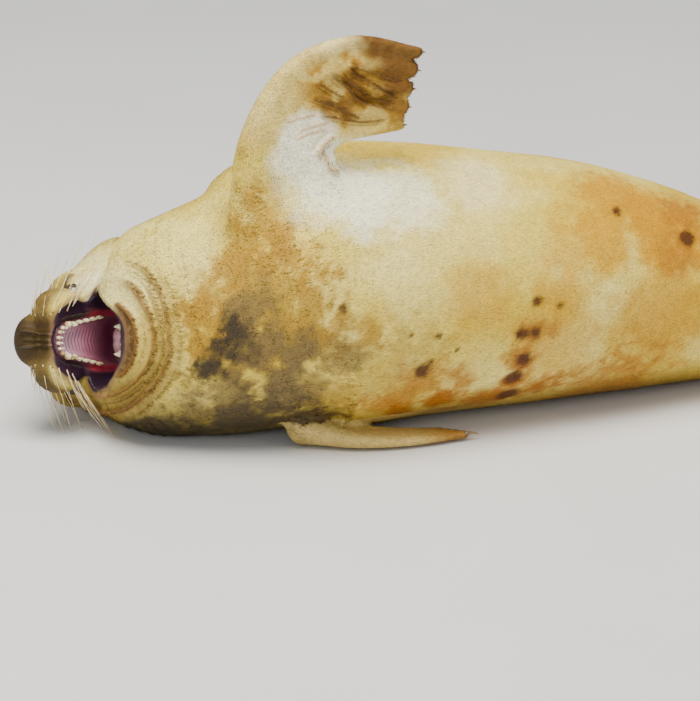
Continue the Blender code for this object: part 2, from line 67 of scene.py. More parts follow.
# Stations of the spine, mm: x, y, z and the body's radius.
SPINE = metres([
    (-192, 80, 92, 72),
    (-165, 55, 95, 111),
    (-118, 24, 111.5, 126.5),
    (-60, 6, 128, 137.5),
    (0, 1, 148, 158),
    (60, 0, 149, 158),
    (120, 0, 147, 153),
    (200, 0, 140, 145),
    (300, 2, 129, 134.5),
    (390, 2, 113, 119),
    (460, 0, 98, 102.5),
    (530, -2, 83, 86),
    (600, 0, 68, 70),
    (660, 4, 55, 54),
    (706, 8, 45, 38),
])
BELLY_DEPTH = 1.06

# Head frame: origin on the jaw's hinge, x to the muzzle, y to the left, z to the crown.
HEAD_TURN = math.radians(29.3)
HEAD_LIFT = math.radians(14.7)
HEAD_ROLL = math.radians(13.6)
INCISORS = np.array((-0.270, 0.005, 0.115))
JAW_REACH = 0.105
GAPE = math.radians(42.0)
PALATE = 0.013
GUM = 0.008
UPPER_ARCH = (0.030, 0.104, 0.027, 0.018)
LOWER_ARCH = (0.030, 0.097, 0.025, 0.016)
FLOOR = -0.006
UPPER_LIP = 0.0045
LOWER_LIP = 0.0045

EYE_RADIUS = 0.0165
EYE_LINE = ((0.048, 0.038, 0.030), (0.35, 1.0, 0.25))
LID = 0.003

# The palate's ridges: their pitch along the head, and how far they bend back at the sides.
RUGAE_PITCH = 0.0052
RUGAE_BEND = 0.35
# Half the side of the box round the incisors that holds the whole mouth.
MOUTH_REACH = 0.2
# How far above the floor the lowest points of skin, tufts and whiskers are kept.
SKIN_LOWEST = 0.0004
TUFT_LOWEST = 0.0002
WHISKER_LOWEST = 0.001

# A flipper, mm: its leading and trailing edge, and its half thickness from arm to tip.
LEFT_FORE = metres({
    "lead": [(-72, -58, 262), (-69, -58, 338), (-44, -57, 398),
             (-6, -56, 433), (52, -54, 445.5), (119, -52, 427)],
    "trail": [(4, -60, 270), (6, -59, 322), (16, -58, 337),
              (36, -57, 343), (66, -55, 343), (98, -53, 344)],
    "arm": 26, "wrist": 15, "tip": 5.5,
})
RIGHT_FORE = metres({
    "lead": [(-24, -92, 22), (-4, -106, 16), (30, -124, 11),
             (85, -134, 8), (152, -130, 7)],
    "trail": [(-10, -84, 20), (15, -90, 14), (45, -98, 10),
              (85, -103, 8), (124, -108, 7)],
    "arm": 20, "wrist": 12, "tip": 5.2,
})


def hind(side):
    root, ankle, blade = 0.042 + 0.014 * side, 0.043 + 0.026 * side, 0.043 + 0.0315 * side
    return {
        "lead": [(0.695, 0.014, root), (0.748, 0.028, ankle), (0.805, 0.052, blade),
                 (0.865, 0.074, blade), (0.925, 0.088, blade)],
        "trail": [(0.695, -0.010, root), (0.748, -0.022, ankle), (0.805, -0.042, blade),
                  (0.865, -0.062, blade), (0.925, -0.076, blade)],
        "arm": 0.022, "wrist": 0.0135, "tip": 0.0052,
    }


LIMBS = [
    ("foreflipper_left", LEFT_FORE, 0.022, (0.0, 1.0, 0.0)),
    ("foreflipper_right", RIGHT_FORE, 0.006, (0.0, 0.0, 1.0)),
    ("hindflipper_left", hind(1), 0.010, (0.0, 0.0, 1.0)),
    ("hindflipper_right", hind(-1), 0.010, (0.0, 0.0, 1.0)),
]
DIGITS = 5

# ---------------------------------------------------------------- distance fields


def smooth_min(a, b, k):
    h = np.clip(0.5 + 0.5 * (b - a) / k, 0.0, 1.0)
    return b + (a - b) * h - k * h * (1.0 - h)


def smooth_max(a, b, k):
    return -smooth_min(-a, -b, k)


FAR = 9.0


def between(p, x=(-FAR, FAR), y=(-FAR, FAR), z=(-FAR, FAR)):
    """Which points lie inside these ranges."""
    low, high = np.array((x, y, z), F).T
    return ((p > low) & (p < high)).all(1)


def step(x, low, high):
    t = np.clip((x - low) / (high - low), 0.0, 1.0)
    return t * t * (3.0 - 2.0 * t)


def distance(p, place):
    return np.sqrt(((p - np.array(place, F)) ** 2).sum(1))


def ellipsoid(p, centre, radii):
    radii = np.array(radii, F)
    q = (p - np.array(centre, F)) / radii
    near = np.sqrt((q * q).sum(1)) + 1e-9
    slope = np.sqrt(((q / radii) ** 2).sum(1)) + 1e-9
    return near * (near - 1.0) / slope


def rounded(points, steps):
    pts = np.array(points, float)
    ends = np.vstack([2 * pts[0] - pts[1], pts, 2 * pts[-1] - pts[-2]])
    t = (np.arange(steps) / steps)[:, None]
    rows = []
    for i in range(len(pts) - 1):
        a, b, c, d = ends[i:i + 4]
        bend = (2 * a - 5 * b + 4 * c - d) * t ** 2 + (3 * b - a - 3 * c + d) * t ** 3
        rows.append(0.5 * (2 * b + (c - a) * t + bend))
    return np.vstack(rows + [pts[-1:]]).astype(F)


def nearest(p, line):
    """Distance of each point from a polyline, and how far along it the nearest place is."""
    gap = np.full(len(p), 1e3, F)
    along = np.zeros(len(p), F)
    for i in range(len(line) - 1):
        leg = line[i + 1] - line[i]
        away = p - line[i]
        t = np.clip(away @ leg / (leg @ leg), 0, 1)
        away = away - t[:, None] * leg
        away = np.sqrt((away * away).sum(1))
        closer = away < gap
        gap = np.where(closer, away, gap)
        along = np.where(closer, i + t, along)
    return gap, along / (len(line) - 1)


def tube(p, stations, steps, depth=1.0):
    scale = np.array((1.0, depth, 1.0), F)
    rows = rounded(stations, steps)
    gap, along = nearest(p / scale, rows[:, :3] / scale)
    return gap - np.interp(along, np.linspace(0, 1, len(rows)), rows[:, 3]).astype(F)


def head_axes():
    flat = math.cos(HEAD_LIFT)
    forward = np.array((-math.cos(HEAD_TURN) * flat, -math.sin(HEAD_TURN) * flat,
                        math.sin(HEAD_LIFT)))
    lift = np.array((0, 0, 1.0)) - forward[2] * forward
    lift /= np.linalg.norm(lift)
    left = math.cos(HEAD_ROLL) * lift + math.sin(HEAD_ROLL) * np.cross(forward, lift)
    return np.array((forward, left, np.cross(forward, left)))


HEAD_AXES = head_axes()
HINGE = INCISORS - JAW_REACH * HEAD_AXES[0]


def to_head(p):
    return (p - HINGE.astype(F)) @ HEAD_AXES.T.astype(F)


def from_head(h):
    return HINGE + np.asarray(h) @ HEAD_AXES


def to_jaw(h):
    c, s = math.cos(GAPE), math.sin(GAPE)
    return np.stack([c * h[:, 0] - s * h[:, 2], h[:, 1], s * h[:, 0] + c * h[:, 2]], 1)


def from_jaw(j):
    c, s = math.cos(GAPE), math.sin(GAPE)
    x, y, z = np.moveaxis(np.asarray(j, float), -1, 0)
    return from_head(np.stack([c * x + s * z, y, -s * x + c * z], -1))


def both_sides(h):
    return np.stack([h[:, 0], np.abs(h[:, 1]), h[:, 2]], 1)


def head(p):
    h = to_head(p)
    pair = both_sides(h)
    d = ellipsoid(h, (-0.005, 0, 0.038), (0.074, 0.068, 0.050))
    for centre, radii, softness, shared in (
        ((0.010, 0.030, 0.014), (0.050, 0.040, 0.040), 0.018, pair),
        ((0.038, 0.043, 0.049), (0.029, 0.031, 0.027), 0.012, pair),
        ((0.072, 0.000, 0.042), (0.048, 0.026, 0.024), 0.012, h),
        ((0.086, 0.0300, 0.022), (0.034, 0.0285, 0.0265), 0.006, pair),
        ((0.092, 0.000, 0.016), (0.024, 0.032, 0.018), 0.008, h),
        ((0.110, 0.000, 0.042), (0.020, 0.028, 0.018), 0.010, h),
    ):
        d = smooth_min(d, ellipsoid(shared, centre, radii), softness)
    j = to_jaw(h)
    jaw = ellipsoid(j, (0.040, 0, -0.014), (0.062, 0.050, 0.022))
    jaw = smooth_min(jaw, ellipsoid(j, (0.086, 0, -0.0035), (0.021, 0.036, 0.0115)), 0.010)
    return smooth_min(d, jaw, 0.014)


def neck_rolls(p):
    h = to_head(p)
    nape = ellipsoid(h, (-0.030, 0.007, 0.040), (0.062, 0.110, 0.066))
    throat = ellipsoid(to_jaw(h), (0.018, -0.004, -0.046), (0.058, 0.086, 0.030))
    return smooth_min(nape, throat, 0.03)


def arch(x, y, shape):
    back, front, half_back, half_front = shape
    bend = front - half_front
    along = np.clip((x - back) / (bend - back), 0, 1)
    side = np.abs(y) - (half_back + (half_front - half_back) * along)
    return np.where(x > bend, np.hypot(x - bend, y) - half_front, side)


def ridge(off):
    return np.exp(-(off / np.where(off > 0, 0.008, 0.0055)) ** 2)


def mouth(p):
    h = to_head(p)
    j = to_jaw(h)
    x = 0.5 * (h[:, 0] + j[:, 0])
    width = np.interp(x, [-0.01, 0.015, 0.035, 0.055, 0.075, 0.09, 0.11],
                      [0.018, 0.030, 0.042, 0.050, 0.048, 0.042, 0.032]).astype(F)
    upper = arch(h[:, 0], h[:, 1], UPPER_ARCH)
    lower = arch(j[:, 0], j[:, 1], LOWER_ARCH)
    roof = PALATE - GUM * ridge(upper) - (PALATE - UPPER_LIP) * step(upper, 0.004, 0.011)
    floor = FLOOR - FLOOR * ridge(lower) + (LOWER_LIP - FLOOR) * step(lower, 0.004, 0.011)
    down = roof - h[:, 2]
    up = j[:, 2] - floor
    total = np.maximum(down + up, 0.004)
    square = 3.0
    lip = np.abs((down - up) / total) ** square + (np.abs(h[:, 1]) / width) ** square
    d = (lip ** (1 / square) - 1) * np.minimum(width, 0.5 * total)
    return smooth_max(d, 0.004 - x, 0.008)


def ray(limb, t):
    return (1 - t) * np.array(limb["lead"]) + t * np.array(limb["trail"])


def flipper(p, limb):
    arm, wrist, tip = limb["arm"], limb["wrist"], limb["tip"]
    web = 0.75 * tip
    rays_to_digit = 4
    count = rays_to_digit * (DIGITS - 1)
    d = np.full(len(p), 1e3, F)
    for i in range(count + 1):
        webbed = (0, 0.75, 1, 0.75)[i % rays_to_digit]
        route = ray(limb, i / count)
        route[-1] = route[-2] + (1 - 0.005 * webbed) * (route[-1] - route[-2])
        along = np.linspace(0, 1, len(route))
        bone = np.interp(along, [0, 0.3, 0.75, 1], [arm, wrist, 1.35 * tip, tip])
        thin = np.interp(along, [0, 0.35, 0.8, 1], [arm, 0.9 * wrist, web, 0.8 * web])
        radius = bone + (thin - bone) * webbed
        d = smooth_min(d, tube(p, np.column_stack([route, radius]), 4), 0.004)
    return d


def tail(p):
    d = ellipsoid(p, (0.735, 0.036, 0.043), (0.052, 0.011, 0.0125))
    return smooth_min(d, ellipsoid(p, (0.772, 0.045, 0.043), (0.026, 0.007, 0.0105)), 0.015)


def within(p, low, high, form):
    inside = between(p, *zip(low, high))
    d = np.full(len(p), 0.2, F)
    if inside.any():
        d[inside] = form(p[inside])
    return d


def limb_box(limb):
    points = np.array(limb["lead"] + limb["trail"])
    return points.min(0) - 0.05, points.max(0) + 0.05


def seal(p):
    d = tube(p, SPINE, 6, BELLY_DEPTH)
    low, high = INCISORS - 0.3, INCISORS + 0.3
    d = smooth_min(d, within(p, low, high, neck_rolls), 0.035)
    softness = np.interp(to_head(p)[:, 2], [-0.03, 0.05], [0.008, 0.022]).astype(F)
    d = smooth_min(d, within(p, low, high, head), softness)
    for _, limb, softness, _ in LIMBS:
        low, high = limb_box(limb)
        d = smooth_min(d, within(p, low, high, lambda q, limb=limb: flipper(q, limb)), softness)
    d = smooth_min(d, within(p, (0.66, -0.02, 0.0), (0.82, 0.08, 0.09), tail), 0.004)
    d = smooth_max(d, -within(p, INCISORS - MOUTH_REACH, INCISORS + MOUTH_REACH, mouth), 0.004)
    return smooth_max(d, -p[:, 2], 0.003)


def coat_depth(p):
    """How far the skin lies inside the solids: least on the face, in the mouth and on flippers."""
    h = to_head(p)
    face = step(h[:, 0], 0.0, 0.06)
    flips = step(p[:, 2], 0.30, 0.34) + step(p[:, 0], 0.70, 0.76)
    return (0.0022 - 0.0012 * np.clip(face + flips, 0, 1)).astype(F)


def skin_form(p):
    return seal(p) + coat_depth(p)


# ---------------------------------------------------------------- meshing

BLOCK = 4


def sampled(form, low, high, cell):
    low = np.array(low)
    coarse = np.ceil((np.array(high) - low) / (cell * BLOCK)).astype(int) + 1
    corners = np.stack(np.meshgrid(*map(np.arange, coarse), indexing="ij"), -1)
    rough = form((low + corners.reshape(-1, 3) * cell * BLOCK).astype(F))
    grid = np.kron(rough.reshape(coarse), np.ones((BLOCK, BLOCK, BLOCK), F))
    close = np.argwhere(np.abs(grid) < 1.6 * cell * BLOCK)
    values = [form((low + part * cell).astype(F))
              for part in np.array_split(close, max(1, len(close) // 120000))]
    grid = np.sign(grid) * 3 * cell
    grid[tuple(close.T)] = np.concatenate(values)
    return grid.astype(F)


def surface(name, form, low, high, cell):
    grid = openvdb.FloatGrid()
    grid.background = 3 * cell
    grid.copyFromArray(sampled(form, low, high, cell))
    points, _, quads = grid.convertToPolygons(isovalue=0.0, adaptivity=0.0)
    points = (np.array(low) + points * cell).astype(F)
    mesh = bpy.data.meshes.new(name)
    mesh.from_pydata(points.tolist(), [], quads[:, ::-1].tolist())
    return linked(name, mesh)


def linked(name, mesh):
    obj = bpy.data.objects.new(name, mesh)
    bpy.context.collection.objects.link(obj)
    return obj


def vertices(mesh):
    points = np.empty(len(mesh.vertices) * 3, F)
    mesh.vertices.foreach_get("co", points)
    return points.reshape(-1, 3)


def set_vertices(mesh, points):
    mesh.vertices.foreach_set("co", np.ascontiguousarray(points, F).ravel())
    mesh.update()


def normals(mesh):
    found = np.empty(len(mesh.vertices) * 3, F)
    mesh.vertices.foreach_get("normal", found)
    return found.reshape(-1, 3)


def settled(form, p, limit):
    """Points moved along the slope of form on to its surface."""
    eps = F(0.0006)
    here = form(p)
    slope = np.stack([form(p + axis) - here for axis in np.eye(3, dtype=F) * eps], 1) / eps
    move = here / np.maximum((slope * slope).sum(1), 0.3)
    return p - np.clip(move, -limit, limit)[:, None] * slope


def refine(obj, wanted, form, limit):
    """Halves the faces whose middle is wanted, and settles the vertices there on the form."""
    mesh = obj.data
    bm = bmesh.new()
    bm.from_mesh(mesh)
    centres = np.array([f.calc_center_median()[:] for f in bm.faces], F)
    chosen = wanted(centres)
    edges = {e for f, on in zip(bm.faces, chosen) if on for e in f.edges}
    bmesh.ops.subdivide_edges(bm, edges=list(edges), cuts=1, use_grid_fill=True)
    bm.to_mesh(mesh)
    bm.free()
    points = vertices(mesh)
    on = wanted(points)
    points[on] = settled(form, points[on], limit)
    set_vertices(mesh, points)


# ---------------------------------------------------------------- folds of the skin

# The middle of the open mouth, round which the throat is meshed more finely.
MOUTH_CENTRE = np.array((-0.221, 0.048, 0.098), F)
# The throat's rolls, in the jaw's frame: rings round a point at this height, with a crease
# between each two.
RING_CENTRE = 0.0286
RINGS = [
    # radius, half width and depth of a crease, and the angles between which it runs
    (0.0535, 0.0013, 0.0008, -50, 40),
    (0.0600, 0.0018, 0.0048, -92, 62),
    (0.0685, 0.0016, 0.0022, -70, 50),
    (0.0775, 0.0019, 0.0052, -96, 58),
    (0.0880, 0.0022, 0.0014, -60, 45),
]
# The height of a roll between two creases.
ROLL = 0.0024


def chin_edge(p):
    """Distance outside the chin's crescent, and where that edge shows."""
    j = to_jaw(to_head(p))
    gap = (np.hypot(j[:, 1] / 0.0385, (j[:, 2] - 0.0110) / 0.0240) - 1) * 0.026
    window = step(j[:, 0], 0.020, 0.040) * (1 - step(j[:, 2], 0.004, 0.014))
    near = distance(p, INCISORS) < 0.13
    return gap, window * near


def rings(p):
    """Depth of the throat's creases less the height of its rolls, and a mask of the creases."""
    j = to_jaw(to_head(p))
    u, v = RING_CENTRE - j[:, 2], j[:, 1]
    angle = np.degrees(np.arctan2(v, u))
    r = np.hypot(u, v) + 0.0034 * (noise(p * 26.0) - 0.5)
    r -= 0.0130 * step(angle, 8, 60) * step(r, 0.050, 0.080)
    front = step(j[:, 0], -0.150, -0.110) * (np.abs(angle) < 140)
    deep = np.zeros(len(p), F)
    mask = np.zeros(len(p), F)
    for radius, half, depth, low, high in RINGS:
        window = step(angle, low - 18, low + 12) * (1 - step(angle, high - 12, high + 18)) * front
        crease = np.exp(-((r - radius) / half) ** 2) * window
        deep += depth * crease
        mask = np.maximum(mask, crease * min(1, depth / 0.0040))
    gap, window = chin_edge(p)
    crease = np.exp(-(gap / 0.0018) ** 2) * window
    deep += 0.0036 * crease
    mask = np.maximum(mask, crease)
    radii = [0.0470] + [row[0] for row in RINGS if row[2] > 0.0015]
    for low, high in zip(radii, radii[1:]):
        t = np.clip((r - low) / (high - low), 0, 1)
        window = step(angle, -100, -70) * (1 - step(angle, 50, 80)) * front
        deep -= ROLL * np.abs(np.sin(math.pi * t)) ** 1.5 * window
    return deep, mask


# Folds that follow a line, mm: points from under the chest, half width, depth.
PALM_FOLDS = metres([
    ([(-1, -66, 408), (14, -66, 397), (33, -63, 384)], 1.5, 3),
    ([(12, -65, 417), (34, -64, 397), (54, -62, 378),
      (98, -57, 362)], 1.6, 3.4),
    ([(22, -64, 416), (42, -62, 400), (64, -60, 381),
      (94, -59, 371)], 1.4, 2.8),
    ([(31, -63, 421), (51, -59, 406), (72, -60, 393),
      (99, -56, 382)], 1.4, 2.8),
    ([(34, -63, 423), (59, -59, 412), (84, -57, 401),
      (101, -57, 396)], 1.3, 2.2),
    ([(-10, -68, 390), (10, -67, 382), (28, -67, 372),
      (48, -63, 359)], 1.3, 2.6),
    ([(0, -67, 388), (22, -65, 379), (38, -64, 368),
      (52, -63, 356)], 1.2, 2),
    ([(0, -69, 371), (24, -68, 364), (50, -64, 356),
      (87, -59, 353)], 1.4, 2.8),
    ([(59, -60, 401), (76, -58, 389), (95, -57, 375)], 1.2, 2),
    ([(30, -63, 408), (48, -61, 393), (70, -60, 376)], 1.2, 1.8),
])
ARM_FOLDS = metres([
    ([(19, -71, 345), (6, -75, 339), (-5, -79, 325)], 2.6, 5),
    ([(3, -77, 331), (8, -79, 318), (13, -78, 309),
      (29, -67, 302)], 1.8, 3),
    ([(-24, -75, 356), (-4, -72, 359), (14, -69, 360)], 1.2, 0.8),
    ([(-37, -73, 366), (-17, -71, 370), (0, -70, 370)], 1.2, 0.8),
    ([(-28, -76, 347), (-8, -73, 352), (12, -70, 353)], 1.2, 0.8),
])
# The same on the muzzle, in the head's frame: the left nostril, and the grooves below the nose.
NOSTRIL = metres(([(128, 8.5, 42), (124, 8, 32), (118, 6.6, 22.5)], 1.5, 4.2))
MIDDLE_GROOVE = metres(([(127, 0, 40), (120, 0, 24), (110, 0, 9)], 1.2, 1.6))
SIDE_GROOVE = metres(([(121.5, 7, 29), (116, 6.2, 17), (110, 5.8, 4)], 1.2, 2.4))


def mirrored(fold):
    """A fold and its mirror image, left first."""
    line, half, depth = fold
    return [fold, ([(x, -y, z) for x, y, z in line], half, depth)]


def in_place(folds):
    """Folds given in the head's frame, as points from under the chest."""
    return [(from_head(line), half, depth) for line, half, depth in folds]


def creases(p, folds, form, roll=0.35):
    """Depth and mask of folds along lines, each laid on the surface first."""
    deep = np.zeros(len(p), F)
    mask = np.zeros(len(p), F)
    for line, half, depth in folds:
        line = rounded(line, 5)
        for _ in range(2):
            line = settled(form, line, 0.01)
        near = ((p > line.min(0) - 5 * half) & (p < line.max(0) + 5 * half)).all(1)
        if not near.any():
            continue
        gap, along = nearest(p[near], line)
        ends = step(along, 0.0, 0.18) * (1 - step(along, 0.82, 1.0))
        off = gap / half
        crease = np.exp(-off ** 2) * ends
        deep[near] += depth * (crease - roll * np.exp(-((off - 2.1) / 1.1) ** 2) * ends)
        mask[near] = np.maximum(mask[near], crease)
    return deep, mask


def gaze(side):
    mirror = np.array((1, side, 1))
    inside, direction = (np.array(row) * mirror for row in EYE_LINE)
    direction = direction @ HEAD_AXES / np.linalg.norm(direction)
    line = from_head(inside) + np.linspace(0, 0.08, 801)[:, None] * direction
    return line[np.argmax(seal(line.astype(F)) > 0)], direction


def eye_frame(side):
    """Centre on the surface, and the axes along the lids, across them and out."""
    centre, out = gaze(side)
    along = HEAD_AXES[0] - (HEAD_AXES[0] @ out) * out
    along /= np.linalg.norm(along)
    return centre.astype(F), along.astype(F), np.cross(out, along).astype(F) * side, out.astype(F)


def lids(p, side):
    """How far a point moves along the eye's line, and masks of the slit and of its dark rim."""
    centre, along, across, out = eye_frame(side)
    q = p - centre
    u, v, w = q @ along, q @ across, q @ out
    v = v + 0.0010 - 9.0 * u ** 2
    r = np.hypot(u, v)
    near = (np.abs(w) < 0.02).astype(F)
    half = 0.0013 * np.clip(1 - (u / 0.0112) ** 2, 0, 1)
    inner = 1 - step(np.abs(v), 0.5 * half, 0.5 * half + 0.0009)
    inner = inner * (half > 0)
    dome = 0.0028 * np.exp(-(r / 0.0125) ** 2)
    ring = np.hypot(u / 0.0175, v / 0.0085)
    fold = 0.0011 * np.exp(-((ring - 1) / 0.13) ** 2)
    outer = 0.0007 * np.exp(-((ring - 1.5) / 0.16) ** 2)
    rim = 0.0007 * np.exp(-((np.abs(v) - 0.0021) / 0.0010) ** 2) * (np.abs(u) < 0.012)
    depth = LID + 0.0022 + u ** 2 / (2 * EYE_RADIUS)
    move = dome + rim - fold - outer - inner * (depth + dome)
    dark = np.exp(-((v - 0.0012) / 0.0042) ** 2) * (1 - step(np.abs(u), 0.010, 0.015))
    return (move * near)[:, None] * out, inner * near, dark * near


# ---------------------------------------------------------------- markings


def hashed(i, seed):
    n = (i[:, 0] * 73856093) ^ (i[:, 1] * 19349663) ^ (i[:, 2] * 83492791) ^ (seed * 2654435761)
    n = (n ^ (n >> 13)) * 1274126177
    return ((n ^ (n >> 16)) & 0xFFFF).astype(F) / 65535.0


def noise(p, seed=1):
    """Smooth values from 0 to 1, one cell to each unit."""
    base = np.floor(p).astype(np.int64)
    t = (p - base).astype(F)
    t = t * t * (3 - 2 * t)
    total = np.zeros(len(p), F)
    for corner in range(8):
        o = np.array((corner & 1, corner >> 1 & 1, corner >> 2))
        share = np.prod(np.where(o, t, 1 - t), axis=1)
        total += share * hashed(base + o, seed)
    return total


def cloud(p, scale, octaves=4, seed=1):
    total, size = np.zeros(len(p), F), 0.0
    for i in range(octaves):
        total += noise(p * scale * 2 ** i, seed + i) / 2 ** i
        size += 1 / 2 ** i
    return total / size


# The coat's ground colour.
CREAM = (0.71, 0.53, 0.110)
# Stains of the coat, with painted shade low down and a painted highlight at the top of the chest
# among them.
STAINS_SHADE_AND_HIGHLIGHT = [
    # colour, how ragged, and its patches: place and radius in mm, strength
    ((0.47, 0.255, 0.028), 1.4, [
        (-70, -86, 273, 36, 0.6), (-56, -109, 250, 26, 0.75),
        (-41, -133, 231, 28, 0.6), (-115, -93, 225, 28, 0.6),
        (-110, -114, 205, 22, 0.55), (-142, -106, 176, 22, 0.7),
        (-134, -118, 150, 19, 0.75), (-149, -111, 132, 12, 0.85),
        (29, -168, 156, 22, 0.45), (-26, -162, 148, 22, 0.6),
        (-186, -7, 207, 22, 0.35), (-88, -100, 239, 28, 0.6)]),
    ((0.37, 0.215, 0.036), 1.7, [
        (-85, -115, 200, 80, 0.6), (-60, -140, 150, 75, 0.65),
        (-110, -105, 150, 60, 0.65), (0, -150, 130, 55, 0.45),
        (60, -150, 100, 60, 0.35), (-30, -130, 80, 60, 0.5)]),
    ((0.92, 0.80, 0.36), 0.6, [
        (-150, -20, 225, 55, 0.6), (-175, 30, 200, 50, 0.6)]),
    ((0.185, 0.130, 0.065), 1.4, [
        (-99, -135, 170, 26, 0.6), (-85, -135, 192, 22, 0.5),
        (-90, -142, 137, 36, 0.65), (-47, -154, 124, 30, 0.7),
        (-59, -136, 78, 40, 0.75), (-115, -112, 70, 42, 0.65),
        (-142, -89, 53, 32, 0.6), (13, -164, 116, 18, 0.55),
        (-4, -164, 123, 28, 0.45), (-34, -148, 91, 30, 0.6)]),
    # painted shade: dark patches low on the neck and chest, just above the floor
    ((0.085, 0.060, 0.032), 1.2, [
        (-87, -98, 30, 50, 0.8), (-170, -45, 18, 46, 0.75),
        (-195, 1, 16, 40, 0.7), (-30, -115, 30, 38, 0.75)]),
    ((0.050, 0.034, 0.020), 1.4, [
        (-114, -130, 155, 17, 0.8), (-125, -125, 137, 19, 0.8),
        (-139, -116, 109, 17, 0.9), (-110, -133, 141, 22, 0.55)]),
    ((0.58, 0.295, 0.010), 0.6, [
        (545, -40, 150, 70, 0.55), (600, -20, 130, 60, 0.4),
        (500, 10, 190, 60, 0.35),
        (351, -57, 235, 54, 0.7), (313, -106, 210, 46, 0.6),
        (381, -69, 219, 50, 0.8), (426, -73, 198, 52, 0.8),
        (256, -142, 158, 38, 0.5), (161, -151, 171, 44, 0.4),
        (274, -118, 206, 40, 0.4), (385, -97, 193, 42, 0.75),
        (480, -60, 160, 70, 0.7), (380, -110, 120, 70, 0.55),
        (250, -135, 110, 60, 0.4)]),
    ((0.40, 0.16, 0.026), 1.1, [
        (94, -144, 77, 34, 0.5), (123, -123, 49, 24, 0.85),
        (142, -137, 69, 20, 0.6), (79, -118, 40, 22, 0.8),
        (195, -114, 44, 24, 0.85), (242, -112, 44, 26, 0.85),
        (173, -112, 39, 24, 0.75), (231, -147, 127, 20, 0.6),
        (210, -142, 93, 18, 0.8), (203, -126, 59, 18, 0.8),
        (52, -132, 54, 22, 0.55), (330, -80, 40, 60, 0.6),
        (430, -50, 205, 30, 0.5), (400, -85, 170, 28, 0.45)]),
    # a white marking at the top of the chest, partly painted highlight
    ((0.97, 0.93, 0.74), 0.5, [
        (10, -80, 300, 55, 0.9), (89, -85, 279, 50, 0.6),
        (41, -92, 281, 54, 0.97), (177, -60, 273, 50, 0.3),
        (-24, -79, 330, 32, 0.95), (4, -70, 352, 26, 0.9)]),
]
SPOT_COLOUR = (0.085, 0.028, 0.008)
# Spots, mm: place and radius.
SPOTS = metres([
    (1, -163, 182, 3.9), (93, -154, 96, 6.6),
    (102, -156, 107, 3.3), (76, -165, 141, 2.4),
    (109, -160, 137, 2.8), (131, -155, 116, 2.2),
    (226, -145, 160, 4.4), (253, -143, 152, 3.3),
    (207, -150, 125, 4.4), (225, -147, 125, 5.5),
    (213, -142, 93, 6.6), (204, -131, 68, 7.7),
    (206, -110, 40, 8.8), (341, -76, 228, 4.4),
    (424, -80, 192, 7.7),
])


def mixed(colour, other, share):
    return colour + (np.array(other, F) - colour) * np.clip(share, 0, 1)[:, None]


class Paint:
    """Colours at many points, to which tints are added in turn."""

    def __init__(self, count, colour):
        self.colour = np.tile(np.array(colour, F), (count, 1))

    def add(self, tint, share):
        self.colour = mixed(self.colour, tint, share)


def coat_colour(p):
    """The coat's colour at points from under the chest, for skin and tufts alike."""
    h = to_head(p)
    soft = cloud(p, 14.0, 4, 3)
    fine = cloud(p, 60.0, 3, 9)
    grit = cloud(p, 240.0, 2, 15)
    paint = Paint(len(p), CREAM)
    paint.add((0.90, 0.78, 0.40), 1.8 * (soft - 0.40))
    paint.add((0.58, 0.37, 0.09), 1.9 * (0.52 - soft) * step(fine, 0.2, 0.8))
    # The back is the darker side of the animal: patches, each with a faint pale outline.
    back = step(p[:, 1], 0.02, 0.13)
    blotch = cloud(p, 26.0, 3, 21)
    paint.add((0.28, 0.21, 0.10), back * (0.35 + 0.5 * step(blotch, 0.42, 0.62)))
    ring = np.exp(-((blotch - 0.50) / 0.018) ** 2)
    paint.add((0.62, 0.50, 0.26), back * ring * 0.6)
    for tint, ragged, patches in STAINS_SHADE_AND_HIGHLIGHT:
        share = np.zeros(len(p), F)
        for *place, radius, strength in patches:
            away = distance(p, metres(place)) / metres(radius)
            near = away < 2.2
            rough = 1.5 * (fine[near] - 0.5) + 0.7 * (grit[near] - 0.5)
            value = step(ragged * rough - away[near], -1.40, -0.45)
            share[near] = np.maximum(share[near], value * min(1, 1.3 * strength))
        paint.add(tint, share)
    # Painted shade along the underside, darker towards the floor: brown from the chest back, near
    # black under the neck and chest.
    low = 1 - step(p[:, 2] + 0.02 * (fine - 0.5), 0.010, 0.060)
    paint.add((0.20, 0.10, 0.030), 0.75 * low * step(p[:, 0], -0.10, 0.05))
    shade = 1 - step(p[:, 2] + 0.03 * (fine - 0.5), 0.010, 0.085)
    paint.add((0.045, 0.032, 0.018), 0.90 * shade * (1 - step(p[:, 0], -0.06, 0.05)))
    for *place, radius in SPOTS:
        away = distance(p, place) / (radius * (0.9 + 1.1 * fine))
        paint.add(SPOT_COLOUR, 0.95 * (1 - step(away, 0.75, 1.25)))
    paint_limbs(paint, p, fine)
    paint_face(paint, p, h, fine)
    return np.clip(vivid(paint.colour) * (0.84 + 0.32 * cloud(p, 170.0, 2, 61))[:, None], 0, 1)


def vivid(colour):
    """The colours made purer, blue the most."""
    most = colour.max(1, keepdims=True) + 1e-6
    return most * (colour / most) ** np.array((1.0, 1.12, 1.45), F)


